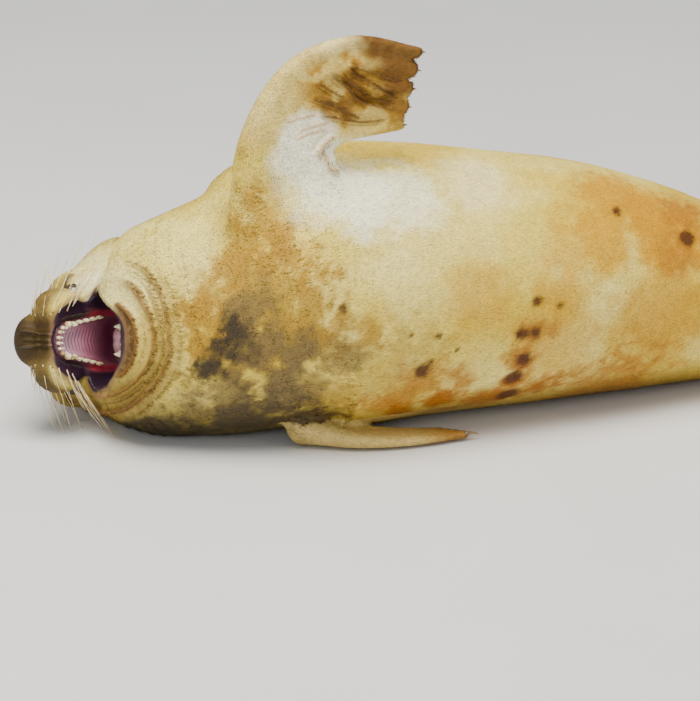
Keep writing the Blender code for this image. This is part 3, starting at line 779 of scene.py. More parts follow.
def paint_limbs(paint, p, fine):
    # Raised flipper: pale at its leading edge, orange-brown at the palm, darkest at the tips.
    fore = step(p[:, 2], 0.330, 0.362) * (p[:, 0] < 0.16) * (p[:, 1] > -0.09)
    palm = cloud(p, 45.0, 3, 31)
    paint.add((0.50, 0.28, 0.055), fore * 0.92)
    paint.add((0.22, 0.105, 0.026), fore * step(palm, 0.42, 0.60) * 0.85
                   * step(p[:, 0], -0.03, 0.02))
    paint.add((0.76, 0.60, 0.27), fore * step(0.5 - palm, 0.02, 0.12) * 0.70)
    lead = rounded(LEFT_FORE["lead"], 4)
    gap, _ = nearest(p, lead)
    edge = 1 - step(gap + 0.010 * (fine - 0.5), 0.004, 0.015)
    paint.add((0.88, 0.73, 0.40), fore * edge * 0.85)
    arm = 1 - step(p[:, 0], -0.035, 0.000)
    paint.add((0.86, 0.72, 0.36), fore * arm * 0.6)
    tip = step(p[:, 0] + 0.5 * (p[:, 2] - 0.40) + 0.02 * (fine - 0.5), 0.052, 0.092)
    tip = tip * step(p[:, 2], 0.358, 0.392)
    paint.add((0.17, 0.078, 0.020), fore * tip * (0.80 + 0.35 * fine))
    # White marking at the root of the raised flipper, partly painted highlight.
    pit = distance(p, ARMPIT)
    white = (1 - step(pit + 0.012 * (fine - 0.5), 0.024, 0.040)) * (p[:, 2] > 0.30)
    paint.add((0.97, 0.92, 0.76), white * 0.95)
    # Flipper on the ground: sandy, rusty towards its tip.
    right = between(p, x=(-0.05, 0.2), y=(-FAR, -0.088), z=(-FAR, 0.03))
    paint.add((0.66, 0.50, 0.24), right * 0.90)
    paint.add((0.34, 0.15, 0.035), right * step(p[:, 0], 0.085, 0.14) * 0.8)
    # Hind flippers and tail.
    rear = step(p[:, 0], 0.62, 0.80)
    paint.add((0.32, 0.21, 0.08), rear * (0.45 + 0.6 * fine))


# The middle of the white patch at the root of the raised flipper: a white marking, partly painted
# highlight.
ARMPIT = (-0.012, -0.075, 0.345)
# Stains of the face, and painted shade on its under side.
FACE_STAINS_AND_SHADE = [
    # in the head's frame: colour, place, radius, strength
    ((0.94, 0.86, 0.50), (0.020, 0.080, 0.020), 0.040, 0.70),
    ((0.97, 0.92, 0.66), (0.045, 0.062, 0.000), 0.026, 0.85),
    ((0.94, 0.84, 0.46), (-0.030, 0.100, 0.030), 0.060, 0.50),
    ((0.82, 0.70, 0.34), (0.088, 0.056, 0.024), 0.018, 0.60),
    # painted shade on the head's under side, toward the floor
    ((0.36, 0.25, 0.09), (0.055, -0.075, 0.030), 0.035, 0.75),
    ((0.20, 0.13, 0.05), (0.020, -0.095, 0.030), 0.035, 0.70),
    ((0.075, 0.035, 0.014), (0.056, 0.053, -0.004), 0.0075, 0.95),
    ((0.075, 0.035, 0.014), (0.048, 0.052, -0.010), 0.0070, 0.95),
]


def paint_face(paint, p, h, fine):
    j = to_jaw(h)
    x, y, z = h[:, 0], np.abs(h[:, 1]), h[:, 2]
    near = 1 - step(distance(p, INCISORS), 0.125, 0.175)
    upper = step(j[:, 2], -0.005, 0.020)
    crown = near * step(z, 0.035, 0.075) * step(x, -0.06, 0.02)
    paint.add((0.36, 0.27, 0.12), crown * 0.75)
    # Pale rolls of the throat, with painted shade on their under side and painted light on their
    # upper side.
    reach = np.hypot(RING_CENTRE - j[:, 2], j[:, 1]) + 0.010 * (fine - 0.5)
    throat = near * (1 - step(reach, 0.078, 0.100)) * step(j[:, 0], -0.150, -0.110)
    around = np.degrees(np.arctan2(j[:, 1], RING_CENTRE - j[:, 2]))
    throat = throat * (1 - step(np.abs(around), 90, 135))
    paint.add((0.70, 0.54, 0.20), throat * 0.80)
    # painted shade on the rolls' under side, toward the floor
    paint.add((0.30, 0.20, 0.060), throat * step(-h[:, 1], 0.01, 0.07) * 0.80)
    # painted light on the rolls' upper side
    above = step(around, 10, 60)
    paint.add((0.93, 0.83, 0.46), throat * above * 0.75)
    for tint, place, radius, strength in FACE_STAINS_AND_SHADE:
        away = distance(h, place) / radius
        share = step(-away + 0.8 * (fine - 0.5), -1.35, -0.45)
        paint.add(tint, near * share * strength)
    pads = near * step(x, 0.066, 0.100) * step(z, 0.004, 0.014) * upper
    paint.add((0.18, 0.115, 0.042), pads * (0.62 + 0.6 * fine))
    # Painted shade on the pad on the head's under side, toward the floor.
    under = pads * step(-h[:, 1], 0.012, 0.045)
    paint.add((0.070, 0.042, 0.018), under * 0.80)
    front = near * step(x, 0.090, 0.108) * (1 - step(y, 0.017, 0.032)) * upper
    paint.add((0.060, 0.034, 0.014), front * (0.80 + 0.25 * fine))
    nose = near * step(x, 0.080, 0.115) * step(z, 0.030, 0.050) * (1 - step(y, 0.022, 0.038))
    paint.add((0.040, 0.025, 0.011), nose * 0.90)
    for side in (1, -1):
        for spot in follicles(side):
            away = ((p - spot) ** 2).sum(1)
            paint.add((0.035, 0.020, 0.010), 0.95 * np.exp(-(away / 0.0013 ** 2) ** 2))
    # Chin: a brown crescent below the lip, against the pale throat.
    gap, window = chin_edge(p)
    chin = window * (1 - step(gap + 0.003 * (fine - 0.5), -0.001, 0.001))
    paint.add((0.105, 0.056, 0.022), chin * (0.80 + 0.4 * fine))
    speckle = cloud(p, 330.0, 2, 51)
    paint.add((0.30, 0.19, 0.080), chin * step(speckle, 0.54, 0.68) * 0.6)
    # Painted shade in the crease along the crescent's edge.
    paint.add((0.045, 0.024, 0.010), window * np.exp(-(gap / 0.0017) ** 2) * 0.85)


def follicle(side, row, k):
    """Where a whisker's root would lie, in the head's frame, before it is put on the skin."""
    return np.array((0.113 - 0.0085 * k, side * (0.027 + 0.0040 * k), 0.009 + 0.0080 * row))


FOLLICLES = {}


def follicles(side):
    """The roots of one pad's whiskers, on the skin."""
    if side not in FOLLICLES:
        spots = [from_head(follicle(side, row, k)) for row in range(4) for k in range(6)]
        spots = np.array(spots, F)
        for _ in range(4):
            spots = settled(skin_form, spots, 0.01)
        FOLLICLES[side] = spots
    return FOLLICLES[side]


def mouth_colour(p):
    """Colours inside the mouth: palate, gums, black lips and red corners, with painted shade at the
    back of the palate and deep in the throat.
    """
    h = to_head(p)
    j = to_jaw(h)
    y = np.abs(h[:, 1])
    x = 0.5 * (h[:, 0] + j[:, 0])
    upper = arch(h[:, 0], h[:, 1], UPPER_ARCH)
    lower = arch(j[:, 0], j[:, 1], LOWER_ARCH)
    roof = 1 - step(np.abs(h[:, 2] - 0.008), 0.010, 0.022)
    grain = cloud(p, 160.0, 3, 41)
    paint = Paint(len(p), (0.12, 0.045, 0.060))
    palate = roof * (1 - step(upper, -0.006, 0.000))
    bend = h[:, 0] + RUGAE_BEND * y + 0.004 * grain
    rugae = 0.5 + 0.5 * np.sin(bend / RUGAE_PITCH * 2 * math.pi)
    pink = Paint(len(p), (0.60, 0.235, 0.32))
    pink.add((0.80, 0.60, 0.74), (0.25 + 0.45 * rugae) * step(h[:, 0], 0.050, 0.085))
    # painted shade towards the back of the palate
    pink.add((0.17, 0.030, 0.065), 1 - step(h[:, 0], 0.015, 0.060))
    paint.colour = paint.colour * (1 - palate[:, None]) + pink.colour * palate[:, None]
    gum = np.exp(-(upper / 0.0045) ** 2) * roof + np.exp(-(lower / 0.0045) ** 2) * (1 - roof)
    paint.add((0.24, 0.085, 0.11), gum * 0.75)
    corner = step(y, 0.013, 0.022) * (1 - step(y, 0.030, 0.037)) * (1 - step(x, 0.038, 0.052))
    corner = corner * step(np.maximum(upper, lower), 0.000, 0.004)
    paint.add((0.52, 0.045, 0.075), corner * (0.7 + 0.5 * grain))
    outer = np.maximum(step(y, 0.031, 0.038), step(x, 0.045, 0.060))
    lip = step(np.maximum(upper * roof, lower * (1 - roof)), 0.002, 0.005) * outer
    paint.add((0.030, 0.014, 0.028), lip * 0.97)
    # Painted shade deep in the throat.
    deep = 1 - step(x, -0.008, 0.012)
    paint.add((0.030, 0.008, 0.012), deep)
    return paint.colour * (0.85 + 0.3 * grain[:, None])


# ---------------------------------------------------------------- attributes and materials


def colour_attribute(mesh, name, colour):
    layer = mesh.attributes.new(name, "FLOAT_COLOR", "POINT")
    values = np.ones((len(colour), 4), F)
    values[:, :3] = np.clip(colour, 0, 1)
    layer.data.foreach_set("color", values.ravel())


def value_attribute(mesh, name, value):
    layer = mesh.attributes.new(name, "FLOAT", "POINT")
    layer.data.foreach_set("value", np.ascontiguousarray(value, F))


class Nodes:
    """A few short ways to build a material's nodes."""

    def __init__(self, name):
        self.material = bpy.data.materials.new(name)
        self.material.use_nodes = True
        self.tree = self.material.node_tree
        self.shader = self.tree.nodes["Principled BSDF"]

    def node(self, kind, **inputs):
        made = self.tree.nodes.new(kind)
        for key, value in inputs.items():
            if key[0].islower():
                setattr(made, key, value)
            else:
                self.feed(made.inputs[key.replace("_", " ")], value)
        return made

    def feed(self, socket, value):
        if isinstance(value, bpy.types.NodeSocket):
            self.tree.links.new(value, socket)
        else:
            socket.default_value = value

    def set(self, **inputs):
        for key, value in inputs.items():
            self.feed(self.shader.inputs[key.replace("_", " ")], value)

    def where(self, scale):
        place = self.node("ShaderNodeTexCoord").outputs["Object"]
        mapping = self.node("ShaderNodeMapping", Vector=place)
        mapping.inputs["Scale"].default_value = scale
        return mapping.outputs["Vector"]

    def grain(self, scale, detail, roughness, stretch=(1.0, 1.0, 1.0)):
        made = self.node("ShaderNodeTexNoise", Vector=self.where(stretch), Scale=scale,
                         Detail=detail, Roughness=roughness)
        return made.outputs["Fac"]

    def ramp(self, value, low, high, to_low=0.0, to_high=1.0):
        made = self.node("ShaderNodeMapRange", Value=value, From_Min=low, From_Max=high,
                         To_Min=to_low, To_Max=to_high)
        return made.outputs["Result"]

    def math(self, operation, a, b):
        made = self.node("ShaderNodeMath", operation=operation)
        self.feed(made.inputs[0], a)
        self.feed(made.inputs[1], b)
        return made.outputs[0]

    def mix(self, share, a, b, blend="MIX"):
        made = self.node("ShaderNodeMix", data_type="RGBA", blend_type=blend)
        self.feed(made.inputs[0], share)
        self.feed(made.inputs[6], a)
        self.feed(made.inputs[7], b)
        return made.outputs[2]

    def read(self, name, output="Color"):
        return self.node("ShaderNodeAttribute", attribute_name=name).outputs[output]

    def bump(self, height, strength, distance, under=None):
        made = self.node("ShaderNodeBump", Height=height, Strength=strength, Distance=distance)
        if under is not None:
            self.feed(made.inputs["Normal"], under)
        return made.outputs["Normal"]


def skin_material():
    n = Nodes("seal_skin")
    strands = n.grain(900.0, 3.0, 0.6, (0.22, 1.0, 1.0))
    clumps = n.grain(260.0, 2.0, 0.5, (0.35, 1.0, 1.0))
    flecks = n.grain(420.0, 2.0, 0.5, (0.6, 1.0, 1.0))
    wet = n.read("wet", "Fac")
    fur = n.math("SUBTRACT", 1.0, wet)
    coat = n.read("coat")
    shade = n.mix(1.0, coat, n.ramp(strands, 0.3, 0.7, 0.72, 1.22), "MULTIPLY")
    shade = n.mix(n.ramp(flecks, 0.62, 0.72, 0.0, 0.15), shade, (0.16, 0.11, 0.05, 1))
    colour = n.mix(wet, shade, coat)
    height = n.math("ADD", n.math("MULTIPLY", strands, 0.5), clumps)
    normal = n.bump(n.math("MULTIPLY", height, fur), 0.55, 0.0012)
    damp = n.grain(700.0, 3.0, 0.6)
    normal = n.bump(n.math("MULTIPLY", damp, wet), 0.35, 0.0006, normal)
    n.set(Base_Color=colour, Normal=normal, Roughness=n.ramp(wet, 0.0, 1.0, 0.62, 0.16))
    n.set(Subsurface_Weight=0.06, Subsurface_Scale=0.003)
    n.set(Specular_IOR_Level=0.28)
    n.shader.inputs["Subsurface Radius"].default_value = (1.0, 0.45, 0.25)
    return n.material


def fur_material():
    n = Nodes("seal_fur")
    coat = n.read("coat")
    along = n.read("along", "Fac")
    # Painted shade towards each tuft's root and painted light towards its tip.
    lift = n.mix(1.0, coat, n.ramp(along, 0.0, 1.0, 0.80, 1.22), "MULTIPLY")
    fine = n.grain(800.0, 2.0, 0.5)
    colour = n.mix(1.0, lift, n.ramp(fine, 0.3, 0.7, 0.78, 1.18), "MULTIPLY")
    n.set(Base_Color=colour, Roughness=0.60, Specular_IOR_Level=0.22)
    return n.material


# ---------------------------------------------------------------- skin


def in_head(reach_back):
    """A test for points of the face: beyond reach_back in the head's or the jaw's frame."""
    def wanted(p):
        h = to_head(p)
        near = distance(p, INCISORS) < 0.17
        return near & ((h[:, 0] > reach_back) | (to_jaw(h)[:, 0] > reach_back))
    return wanted


def level_one(p):
    palm = between(p, x=(-0.1, 0.14), y=(-FAR, -0.045), z=(0.292, FAR))
    q = p - MOUTH_CENTRE
    throat = (q * q).sum(1) < 0.125 ** 2
    edges = p[:, 0] > 0.72
    ground = between(p, x=(-0.05, 0.2), y=(-FAR, -0.095), z=(-FAR, 0.03))
    return palm | throat | edges | ground


def level_two(p):
    palm = between(p, x=(-0.07, 0.13), y=(-FAR, -0.050), z=(0.305, FAR))
    return in_head(0.015)(p) | palm


def level_three(p):
    eyes = np.zeros(len(p), bool)
    for side in (1, -1):
        centre = eye_frame(side)[0]
        eyes |= ((p - centre) ** 2).sum(1) < 0.022 ** 2
    h = to_head(p)
    nose = (h[:, 0] > 0.1) & (np.abs(h[:, 1]) < 0.02) & (h[:, 2] > 0.0)
    return eyes | nose


def level_four(p):
    found = np.zeros(len(p), bool)
    for side in (1, -1):
        centre, along, across, _ = eye_frame(side)
        q = p - centre
        found |= (np.abs(q @ along) < 0.014) & (np.abs(q @ across) < 0.005) \
            & ((q * q).sum(1) < 0.02 ** 2)
    return found


def unwrap(obj):
    bpy.context.view_layer.objects.active = obj
    for other in bpy.context.selected_objects:
        other.select_set(False)
    obj.select_set(True)
    obj.data.uv_layers.new(name="OFBake")
    bpy.ops.object.mode_set(mode="EDIT")
    bpy.ops.mesh.select_all(action="SELECT")
    bpy.ops.uv.smart_project(angle_limit=math.radians(66), island_margin=0.002)
    bpy.ops.object.mode_set(mode="OBJECT")


# The boxes that are meshed, and the cell's size in each.
SKIN_GRID = ((-0.36, -0.23, -0.03), (0.97, 0.23, 0.49), 0.005)
TONGUE_GRID = ((-0.30, -0.12, 0.02), (-0.12, 0.12, 0.22), 0.0016)


def build_skin():
    obj = surface("seal_skin", skin_form, *SKIN_GRID)
    unwrap(obj)
    for wanted, limit in ((level_one, 0.002), (level_two, 0.001), (level_three, 0.0006),
                          (level_four, 0.0003)):
        refine(obj, wanted, skin_form, limit)
    mesh = obj.data
    p = vertices(mesh)
    n = normals(mesh)
    deep, ring_mask = rings(p)
    inside = step(-mouth_gap(p), -0.0045, -0.0026)
    deep *= 1 - inside
    ring_mask *= 1 - inside
    palm_deep, palm_mask = creases(p, PALM_FOLDS, skin_form)
    arm_deep, arm_mask = creases(p, ARM_FOLDS, skin_form)
    nose_deep, nose_mask = creases(p, in_place(mirrored(NOSTRIL)), skin_form, 0.12)
    grooves = in_place([MIDDLE_GROOVE] + mirrored(SIDE_GROOVE))
    groove_deep, groove_mask = creases(p, grooves, skin_form, 0.25)
    moved = p - n * (deep + palm_deep + arm_deep + nose_deep + groove_deep)[:, None]
    moved = moved + n * palate_ridges(p, inside)[:, None]
    slits = np.zeros(len(p), F)
    rims = np.zeros(len(p), F)
    for side in (1, -1):
        shift, slit, dark = lids(p, side)
        moved = moved + shift
        slits, rims = np.maximum(slits, slit), np.maximum(rims, dark)
    colour = coat_colour(p)
    # Painted shade in the creases of throat, palm and arm.
    lines = np.stack([ring_mask, palm_mask, arm_mask], 1)
    colour = with_crease_shade(colour, lines)
    # Painted shade in the nostril slits and the grooves below the nose.
    colour = mixed(colour, (0.018, 0.011, 0.007), np.maximum(nose_mask, groove_mask * 0.8))
    colour = mixed(colour, (0.10, 0.050, 0.018), rims * 0.9)
    # Painted shade in the slits between the lids.
    colour = mixed(colour, (0.006, 0.004, 0.004), slits)
    edge = step(-mouth_gap(p), -0.0085, -0.0045) * (1 - inside)
    colour = mixed(colour, (0.22, 0.115, 0.050), edge * 0.70)
    colour = colour * (1 - inside[:, None]) + mouth_colour(p) * inside[:, None]
    wet = np.clip(inside + slits + 0.8 * rims + 0.15 * nose_mask, 0, 1)
    moved[:, 2] = np.maximum(moved[:, 2], SKIN_LOWEST)
    set_vertices(mesh, moved + PLACE)
    colour_attribute(mesh, "coat", colour)
    value_attribute(mesh, "wet", wet)
    mesh.materials.append(skin_material())
    mesh.shade_smooth()
    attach(obj, "root")
    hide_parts(*FLESH)
    bare = np.clip(inside + rims + slits + nose_mask + 0.45 * groove_mask + edge, 0, 1)
    return obj, p, bare, lines


def with_crease_shade(colour, lines):
    """Painted shade in the creases of throat, palm and arm."""
    for k, tint in enumerate(((0.27, 0.120, 0.026), (0.13, 0.055, 0.014), (0.62, 0.38, 0.16))):
        colour = mixed(colour, tint, np.minimum(1, 1.1 * lines[:, k]) * 0.85)
    return colour


def mouth_gap(p):
    """How far a point lies outside the mouth's hollow, near zero on its walls."""
    return within(p, INCISORS - MOUTH_REACH, INCISORS + MOUTH_REACH, mouth)


def palate_ridges(p, inside):
    h = to_head(p)
    roof = inside * (1 - step(np.abs(h[:, 2] - 0.012), 0.004, 0.010))
    roof = roof * (1 - step(np.abs(h[:, 1]), 0.010, 0.018)) * step(h[:, 0], 0.03, 0.05)
    bend = h[:, 0] + RUGAE_BEND * np.abs(h[:, 1])
    return 0.0006 * roof * np.sin(bend / RUGAE_PITCH * 2 * math.pi)


# ---------------------------------------------------------------- tufts


def lie(p, n, spread, rng):
    """Unit vectors along the surface that the hair follows, from nose to tail and out on limbs."""
    way = np.tile(np.array((1.0, 0.0, 0.0), F), (len(p), 1))
    face = (1 - step(distance(p, HINGE), 0.10, 0.17))[:, None]
    nose = from_head((0.130, 0, 0.040)).astype(F)
    out = p - nose
    out /= np.linalg.norm(out, axis=1, keepdims=True) + 1e-6
    way = way * (1 - face) + (0.7 * out - 0.5 * HEAD_AXES[0].astype(F)) * face
    for _, limb, _, _ in LIMBS:
        low, high = limb_box(limb)
        near = ((p > low + 0.02) & (p < high - 0.02)).all(1)
        if limb is LEFT_FORE:
            near &= p[:, 2] > 0.30
        if limb is RIGHT_FORE:
            near &= (p[:, 2] < 0.035) & (p[:, 1] < -0.09)
        if not near.any():
            continue
        best = np.full(near.sum(), 1e3, F)
        toward = np.zeros((near.sum(), 3), F)
        for t in np.linspace(0, 1, 5):
            line = rounded(ray(limb, t), 3)
            gap, along = nearest(p[near], line)
            place = np.clip((along * (len(line) - 1)).astype(int), 0, len(line) - 2)
            legs = line[1:] - line[:-1]
            legs /= np.linalg.norm(legs, axis=1, keepdims=True)
            closer = gap < best
            best = np.where(closer, gap, best)
            toward[closer] = legs[place[closer]]
        way[near] = toward
    side = np.cross(n, way)
    swirl = (cloud(p, 9.0, 2, 77) - 0.5)[:, None] * 1.2
    jitter = rng.normal(0, 1, (len(p), 1)).astype(F) * spread
    way = way + side * (swirl + jitter)
    way -= n * (way * n).sum(1, keepdims=True)
    return way / (np.linalg.norm(way, axis=1, keepdims=True) + 1e-6)


def triangles(mesh):
    mesh.calc_loop_triangles()
    count = len(mesh.loop_triangles)
    corners = np.empty(count * 3, np.int32)
    loops = np.empty(count * 3, np.int32)
    mesh.loop_triangles.foreach_get("vertices", corners)
    mesh.loop_triangles.foreach_get("loops", loops)
    uv = np.empty(len(mesh.loops) * 2, F)
    mesh.uv_layers["OFBake"].data.foreach_get("uv", uv)
    return corners.reshape(-1, 3), uv.reshape(-1, 2)[loops].reshape(-1, 3, 2)


def tuft_size(p):
    """Length and width of a tuft, least on the face and the flippers, and how small it is."""
    face = (1 - step(distance(p, INCISORS), 0.06, 0.17))
    limbs = np.clip(step(p[:, 2], 0.305, 0.345) + step(p[:, 0], 0.72, 0.78), 0, 1)
    ground = between(p, x=(-0.03, 0.2), y=(-FAR, -0.092), z=(-FAR, 0.032))
    small = np.clip(face + 0.75 * limbs + 0.7 * ground, 0, 1)
    return 0.0088 - 0.0058 * small, 0.00062 - 0.00036 * small, small


# At most this many tufts in one piece, and how many there are in all.
TUFTS = 30000
FULL_COAT = 200000
# Half the side of a tuft's patch on the UV map.
PATCH = 0.0015


def build_coat(skin, rest, bare, lines, count):
    """Joined meshes of thin tufts, rooted in the skin."""
    rng = np.random.default_rng(7)
    mesh = skin.data
    corners, uv = triangles(mesh)
    points = vertices(mesh) - PLACE
    n = normals(mesh)
    centre = rest[corners].mean(1)
    a, b, c = (points[corners[:, i]] for i in range(3))
    area = 0.5 * np.linalg.norm(np.cross(b - a, c - a), axis=1)
    _, _, small = tuft_size(centre)
    weight = area * (1.0 + 3.2 * small) * (1 - bare[corners].max(1))
    weight *= centre[:, 2] > 0.004
    weight[bare[corners].max(1) > 0.5] = 0
    chosen = rng.choice(len(area), count, p=weight / weight.sum())
    u = rng.random((count, 2)).astype(F)
    flip = u.sum(1) > 1
    u[flip] = 1 - u[flip]
    share = np.column_stack([1 - u.sum(1), u])[:, :, None]
    root = (points[corners[chosen]] * share).sum(1)
    origin = (rest[corners[chosen]] * share).sum(1)
    out = (n[corners[chosen]] * share).sum(1)
    out /= np.linalg.norm(out, axis=1, keepdims=True) + 1e-6
    patch = (uv[chosen] * share).sum(1)
    length, width, small = tuft_size(origin)
    length *= (0.65 + 0.7 * rng.random(count)).astype(F)
    width *= (0.7 + 0.6 * rng.random(count)).astype(F)
    way = lie(origin, out, 0.22, rng)
    side = np.cross(out, way)
    rise = (0.00035 + 0.00075 * rng.random(count) ** 2).astype(F) * (1 - 0.5 * small)
    # The tufts take the painted shade of the creases too.
    colour = with_crease_shade(coat_colour(origin), (lines[corners[chosen]] * share).sum(1))
    shade = (0.80 + 0.40 * rng.random((count, 1))).astype(F)
    colour = np.clip(colour * shade, 0, 1)
    # Each tuft is a thin leaf: its root in the skin, its sides and ridge, and its tip.
    curl = rng.normal(0, 0.10, count).astype(F)
    mid = root + way * (0.38 * length)[:, None] + out * rise[:, None]
    tip = root + way * length[:, None] + side * (length * curl)[:, None]
    tip = tip + out * (rise * (0.1 + 0.8 * rng.random(count)).astype(F))[:, None]
    solid = np.stack([root - out * 0.0005, mid - side * width[:, None],
                      mid + side * width[:, None], mid + out * (0.5 * width)[:, None], tip], 1)
    faces = np.array([(0, 2, 1), (0, 1, 3), (0, 3, 2), (4, 1, 2), (4, 3, 1), (4, 2, 3)])
    along = np.array((0, 0.4, 0.4, 0.4, 1.0), F)
    around = np.array([(0, -1), (-1, 0), (1, 0), (0, 0), (0, 1)], F) * PATCH
    solid[:, :, 2] = np.maximum(solid[:, :, 2], TUFT_LOWEST)
    parts = region_of(origin)
    material = fur_material()
    for name in sorted(set(parts)):
        on = np.flatnonzero(parts == name)
        for k, some in enumerate(np.array_split(on, len(on) // TUFTS + 1)):
            title = f"coat_{name}" + (f"_{k + 1}" if len(on) >= TUFTS else "")
            tuft_piece(title, solid[some] + PLACE, faces, along, around, patch[some],
                       colour[some], material)


def region_of(p):
    h = to_head(p)
    names = np.full(len(p), "chest", dtype="<U18")
    names[p[:, 0] < -0.100] = "neck"
    names[p[:, 0] > 0.175] = "abdomen"
    names[p[:, 0] > 0.380] = "hindquarters"
    names[(p[:, 0] > 0.764) & (p[:, 2] > 0.043)] = "hindflipper_left"
    names[(p[:, 0] > 0.764) & (p[:, 2] <= 0.043)] = "hindflipper_right"
    names[(p[:, 2] > 0.315) & (p[:, 0] < 0.15)] = "foreflipper_left"
    on_ground = between(p, x=(-0.03, 0.18), y=(-FAR, -0.095), z=(-FAR, 0.032))
    names[on_ground] = "foreflipper_right"
    names[(h[:, 0] > -0.03) & (p[:, 0] < -0.15)] = "head"
    return names


def tuft_piece(title, solid, faces, along, around, patch, colour, material):
    count, per = solid.shape[:2]
    indices = (faces[None] + (np.arange(count) * per)[:, None, None]).reshape(-1, 3)
    mesh = bpy.data.meshes.new(title)
    mesh.vertices.add(count * per)
    mesh.vertices.foreach_set("co", solid.astype(F).ravel())
    mesh.loops.add(indices.size)
    mesh.loops.foreach_set("vertex_index", indices.astype(np.int32).ravel())
    mesh.polygons.add(len(indices))
    mesh.polygons.foreach_set("loop_start", np.arange(0, indices.size, 3, dtype=np.int32))
    mesh.update(calc_edges=True)
    layer = mesh.uv_layers.new(name="OFBake")
    uv = (patch[:, None] + around[None]).reshape(-1, 2)[indices.ravel()]
    layer.data.foreach_set("uv", uv.astype(F).ravel())
    colour_attribute(mesh, "coat", np.repeat(colour, per, axis=0))
    value_attribute(mesh, "along", np.tile(along, count))
    mesh.materials.append(material)
    mesh.shade_smooth()
    obj = linked(title, mesh)
    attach(obj, "root")


# ---------------------------------------------------------------- mouth pieces


def loft(bm, line, sizes, sides, flat=1.0, up=None):
    """A closed tapering solid along a line, with an elliptic section that closes at the end."""
    line = [Vector(np.asarray(p, float).tolist()) for p in line]
    loops = []
    for i, centre in enumerate(line[:-1]):
        run = (line[min(i + 1, len(line) - 1)] - line[max(i - 1, 0)]).normalized()
        side = run.cross(Vector(up) if up is not None else run.orthogonal()).normalized()
        other = side.cross(run)
        loops.append([bm.verts.new(centre + float(sizes[i]) * (math.cos(a) * side
                                                               + flat * math.sin(a) * other))
                      for a in (2 * math.pi * k / sides for k in range(sides))])
    point = bm.verts.new(line[-1])
    for low, high in zip(loops, loops[1:]):
        for i in range(sides):
            k = (i + 1) % sides
            bm.faces.new((low[i], low[k], high[k], high[i]))
    for i in range(sides):
        bm.faces.new((loops[-1][i], loops[-1][(i + 1) % sides], point))
    bm.faces.new(loops[0][::-1])


def arch_point(shape, share, x=None):
    back, front, half_back, half_front = shape
    bend = front - half_front
    if x is not None:
        half = half_back + (half_front - half_back) * (x - back) / (bend - back)
        return x, share * half
    angle = share * math.pi / 2
    return bend + half_front * math.cos(angle), half_front * math.sin(angle)


def finish_mesh(name, bm, material, slot, *nodes):
    bmesh.ops.recalc_face_normals(bm, faces=bm.faces)
    mesh = bpy.data.meshes.new(name)
    bm.to_mesh(mesh)
    bm.free()
    mesh.transform(Matrix.Translation(PLACE.tolist()))
    mesh.materials.append(material)
    mesh.shade_smooth()
    obj = linked(name, mesh)
    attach(obj, "root")
    if nodes:
        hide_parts(*nodes)


def tooth_material():
    n = Nodes("seal_teeth")
    grain = n.grain(500.0, 3.0, 0.6)
    stain = n.grain(90.0, 2.0, 0.5)
    colour = n.mix(n.ramp(stain, 0.42, 0.62), (0.90, 0.80, 0.50, 1), (0.66, 0.46, 0.17, 1))
    n.set(Base_Color=colour, Roughness=n.ramp(grain, 0.3, 0.7, 0.18, 0.34),
          Normal=n.bump(grain, 0.15, 0.0003))
    n.set(Subsurface_Weight=0.15, Subsurface_Scale=0.002)
    return n.material


def build_teeth(name, shape, incisors, place, gum, out, material):
    bm = bmesh.new()

    def point(x, y, z):
        return Vector(place((x, y, gum + out * z)))

    def tooth(x, y, height, radius, lean_back, lean_in):
        inward = -math.copysign(1, y) * lean_in
        steps = (-0.006, 0.0, 0.3, 0.6, 0.85, 1.0)
        line, sizes = [], []
        for t in steps:
            s = max(t, 0)
            height_now = t if t < 0 else height * s
            line.append(point(x - lean_back * s * s, y + inward * s * s, height_now))
            sizes.append(radius * (0.9 if t < 0 else (1 - 0.92 * s ** 1.8) * (1 + 0.18 * s)))
        loft(bm, line, sizes, 10)

    for i in range(incisors):
        share = (i - (incisors - 1) / 2) / ((incisors - 1) / 2) * 0.55
        x, y = arch_point(shape, share)
        outer = abs(share) > 0.5
        tooth(x, y, 0.0075 if outer else 0.0062, 0.0023 if outer else 0.0019, 0.0018, 0.0003)
    for side in (-1, 1):
        x, y = arch_point(shape, side * 0.86)
        tooth(x, y, 0.0130, 0.0036, 0.0040, 0.0008)
        for i in range(5):
            x = shape[1] - shape[3] - 0.004 - 0.0105 * i
            x, y = arch_point(shape, side, x)
            tall = (0.0068, 0.0060, 0.0066, 0.0052, 0.0046)[i]
            tooth(x, y, tall, 0.0023, 0.0012, 0.0004)
            tooth(x + 0.0030, y, 0.55 * tall, 0.0015, -0.0004, 0.0002)
            tooth(x - 0.0032, y, 0.65 * tall, 0.0016, 0.0012, 0.0002)
    finish_mesh(name, bm, material, None)


def tongue_form(p):
    j = to_jaw(to_head(p))
    blade = ellipsoid(j, (0.052, 0, 0.006), (0.038, 0.0180, 0.0095))
    return blade + 0.0012 * np.exp(-(j[:, 1] / 0.003) ** 2) + 0.0004


def build_tongue():
    n = Nodes("seal_tongue")
    papillae = n.node("ShaderNodeTexVoronoi", Vector=n.where((1, 1, 1)), Scale=750.0)
    cloudy = n.grain(120.0, 3.0, 0.6)
    colour = n.mix(n.ramp(cloudy, 0.35, 0.65), (0.52, 0.30, 0.33, 1), (0.36, 0.17, 0.20, 1))
    n.set(Base_Color=colour, Roughness=n.ramp(cloudy, 0.3, 0.7, 0.12, 0.3),
          Normal=n.bump(papillae.outputs["Distance"], 0.3, 0.0005))
    n.set(Subsurface_Weight=0.2, Subsurface_Scale=0.004)
    obj = surface("tongue_flesh", tongue_form, *TONGUE_GRID)
    obj.data.transform(Matrix.Translation(PLACE.tolist()))
    obj.data.materials.append(n.material)
    obj.data.shade_smooth()
    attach(obj, "root")
    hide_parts("tongue")


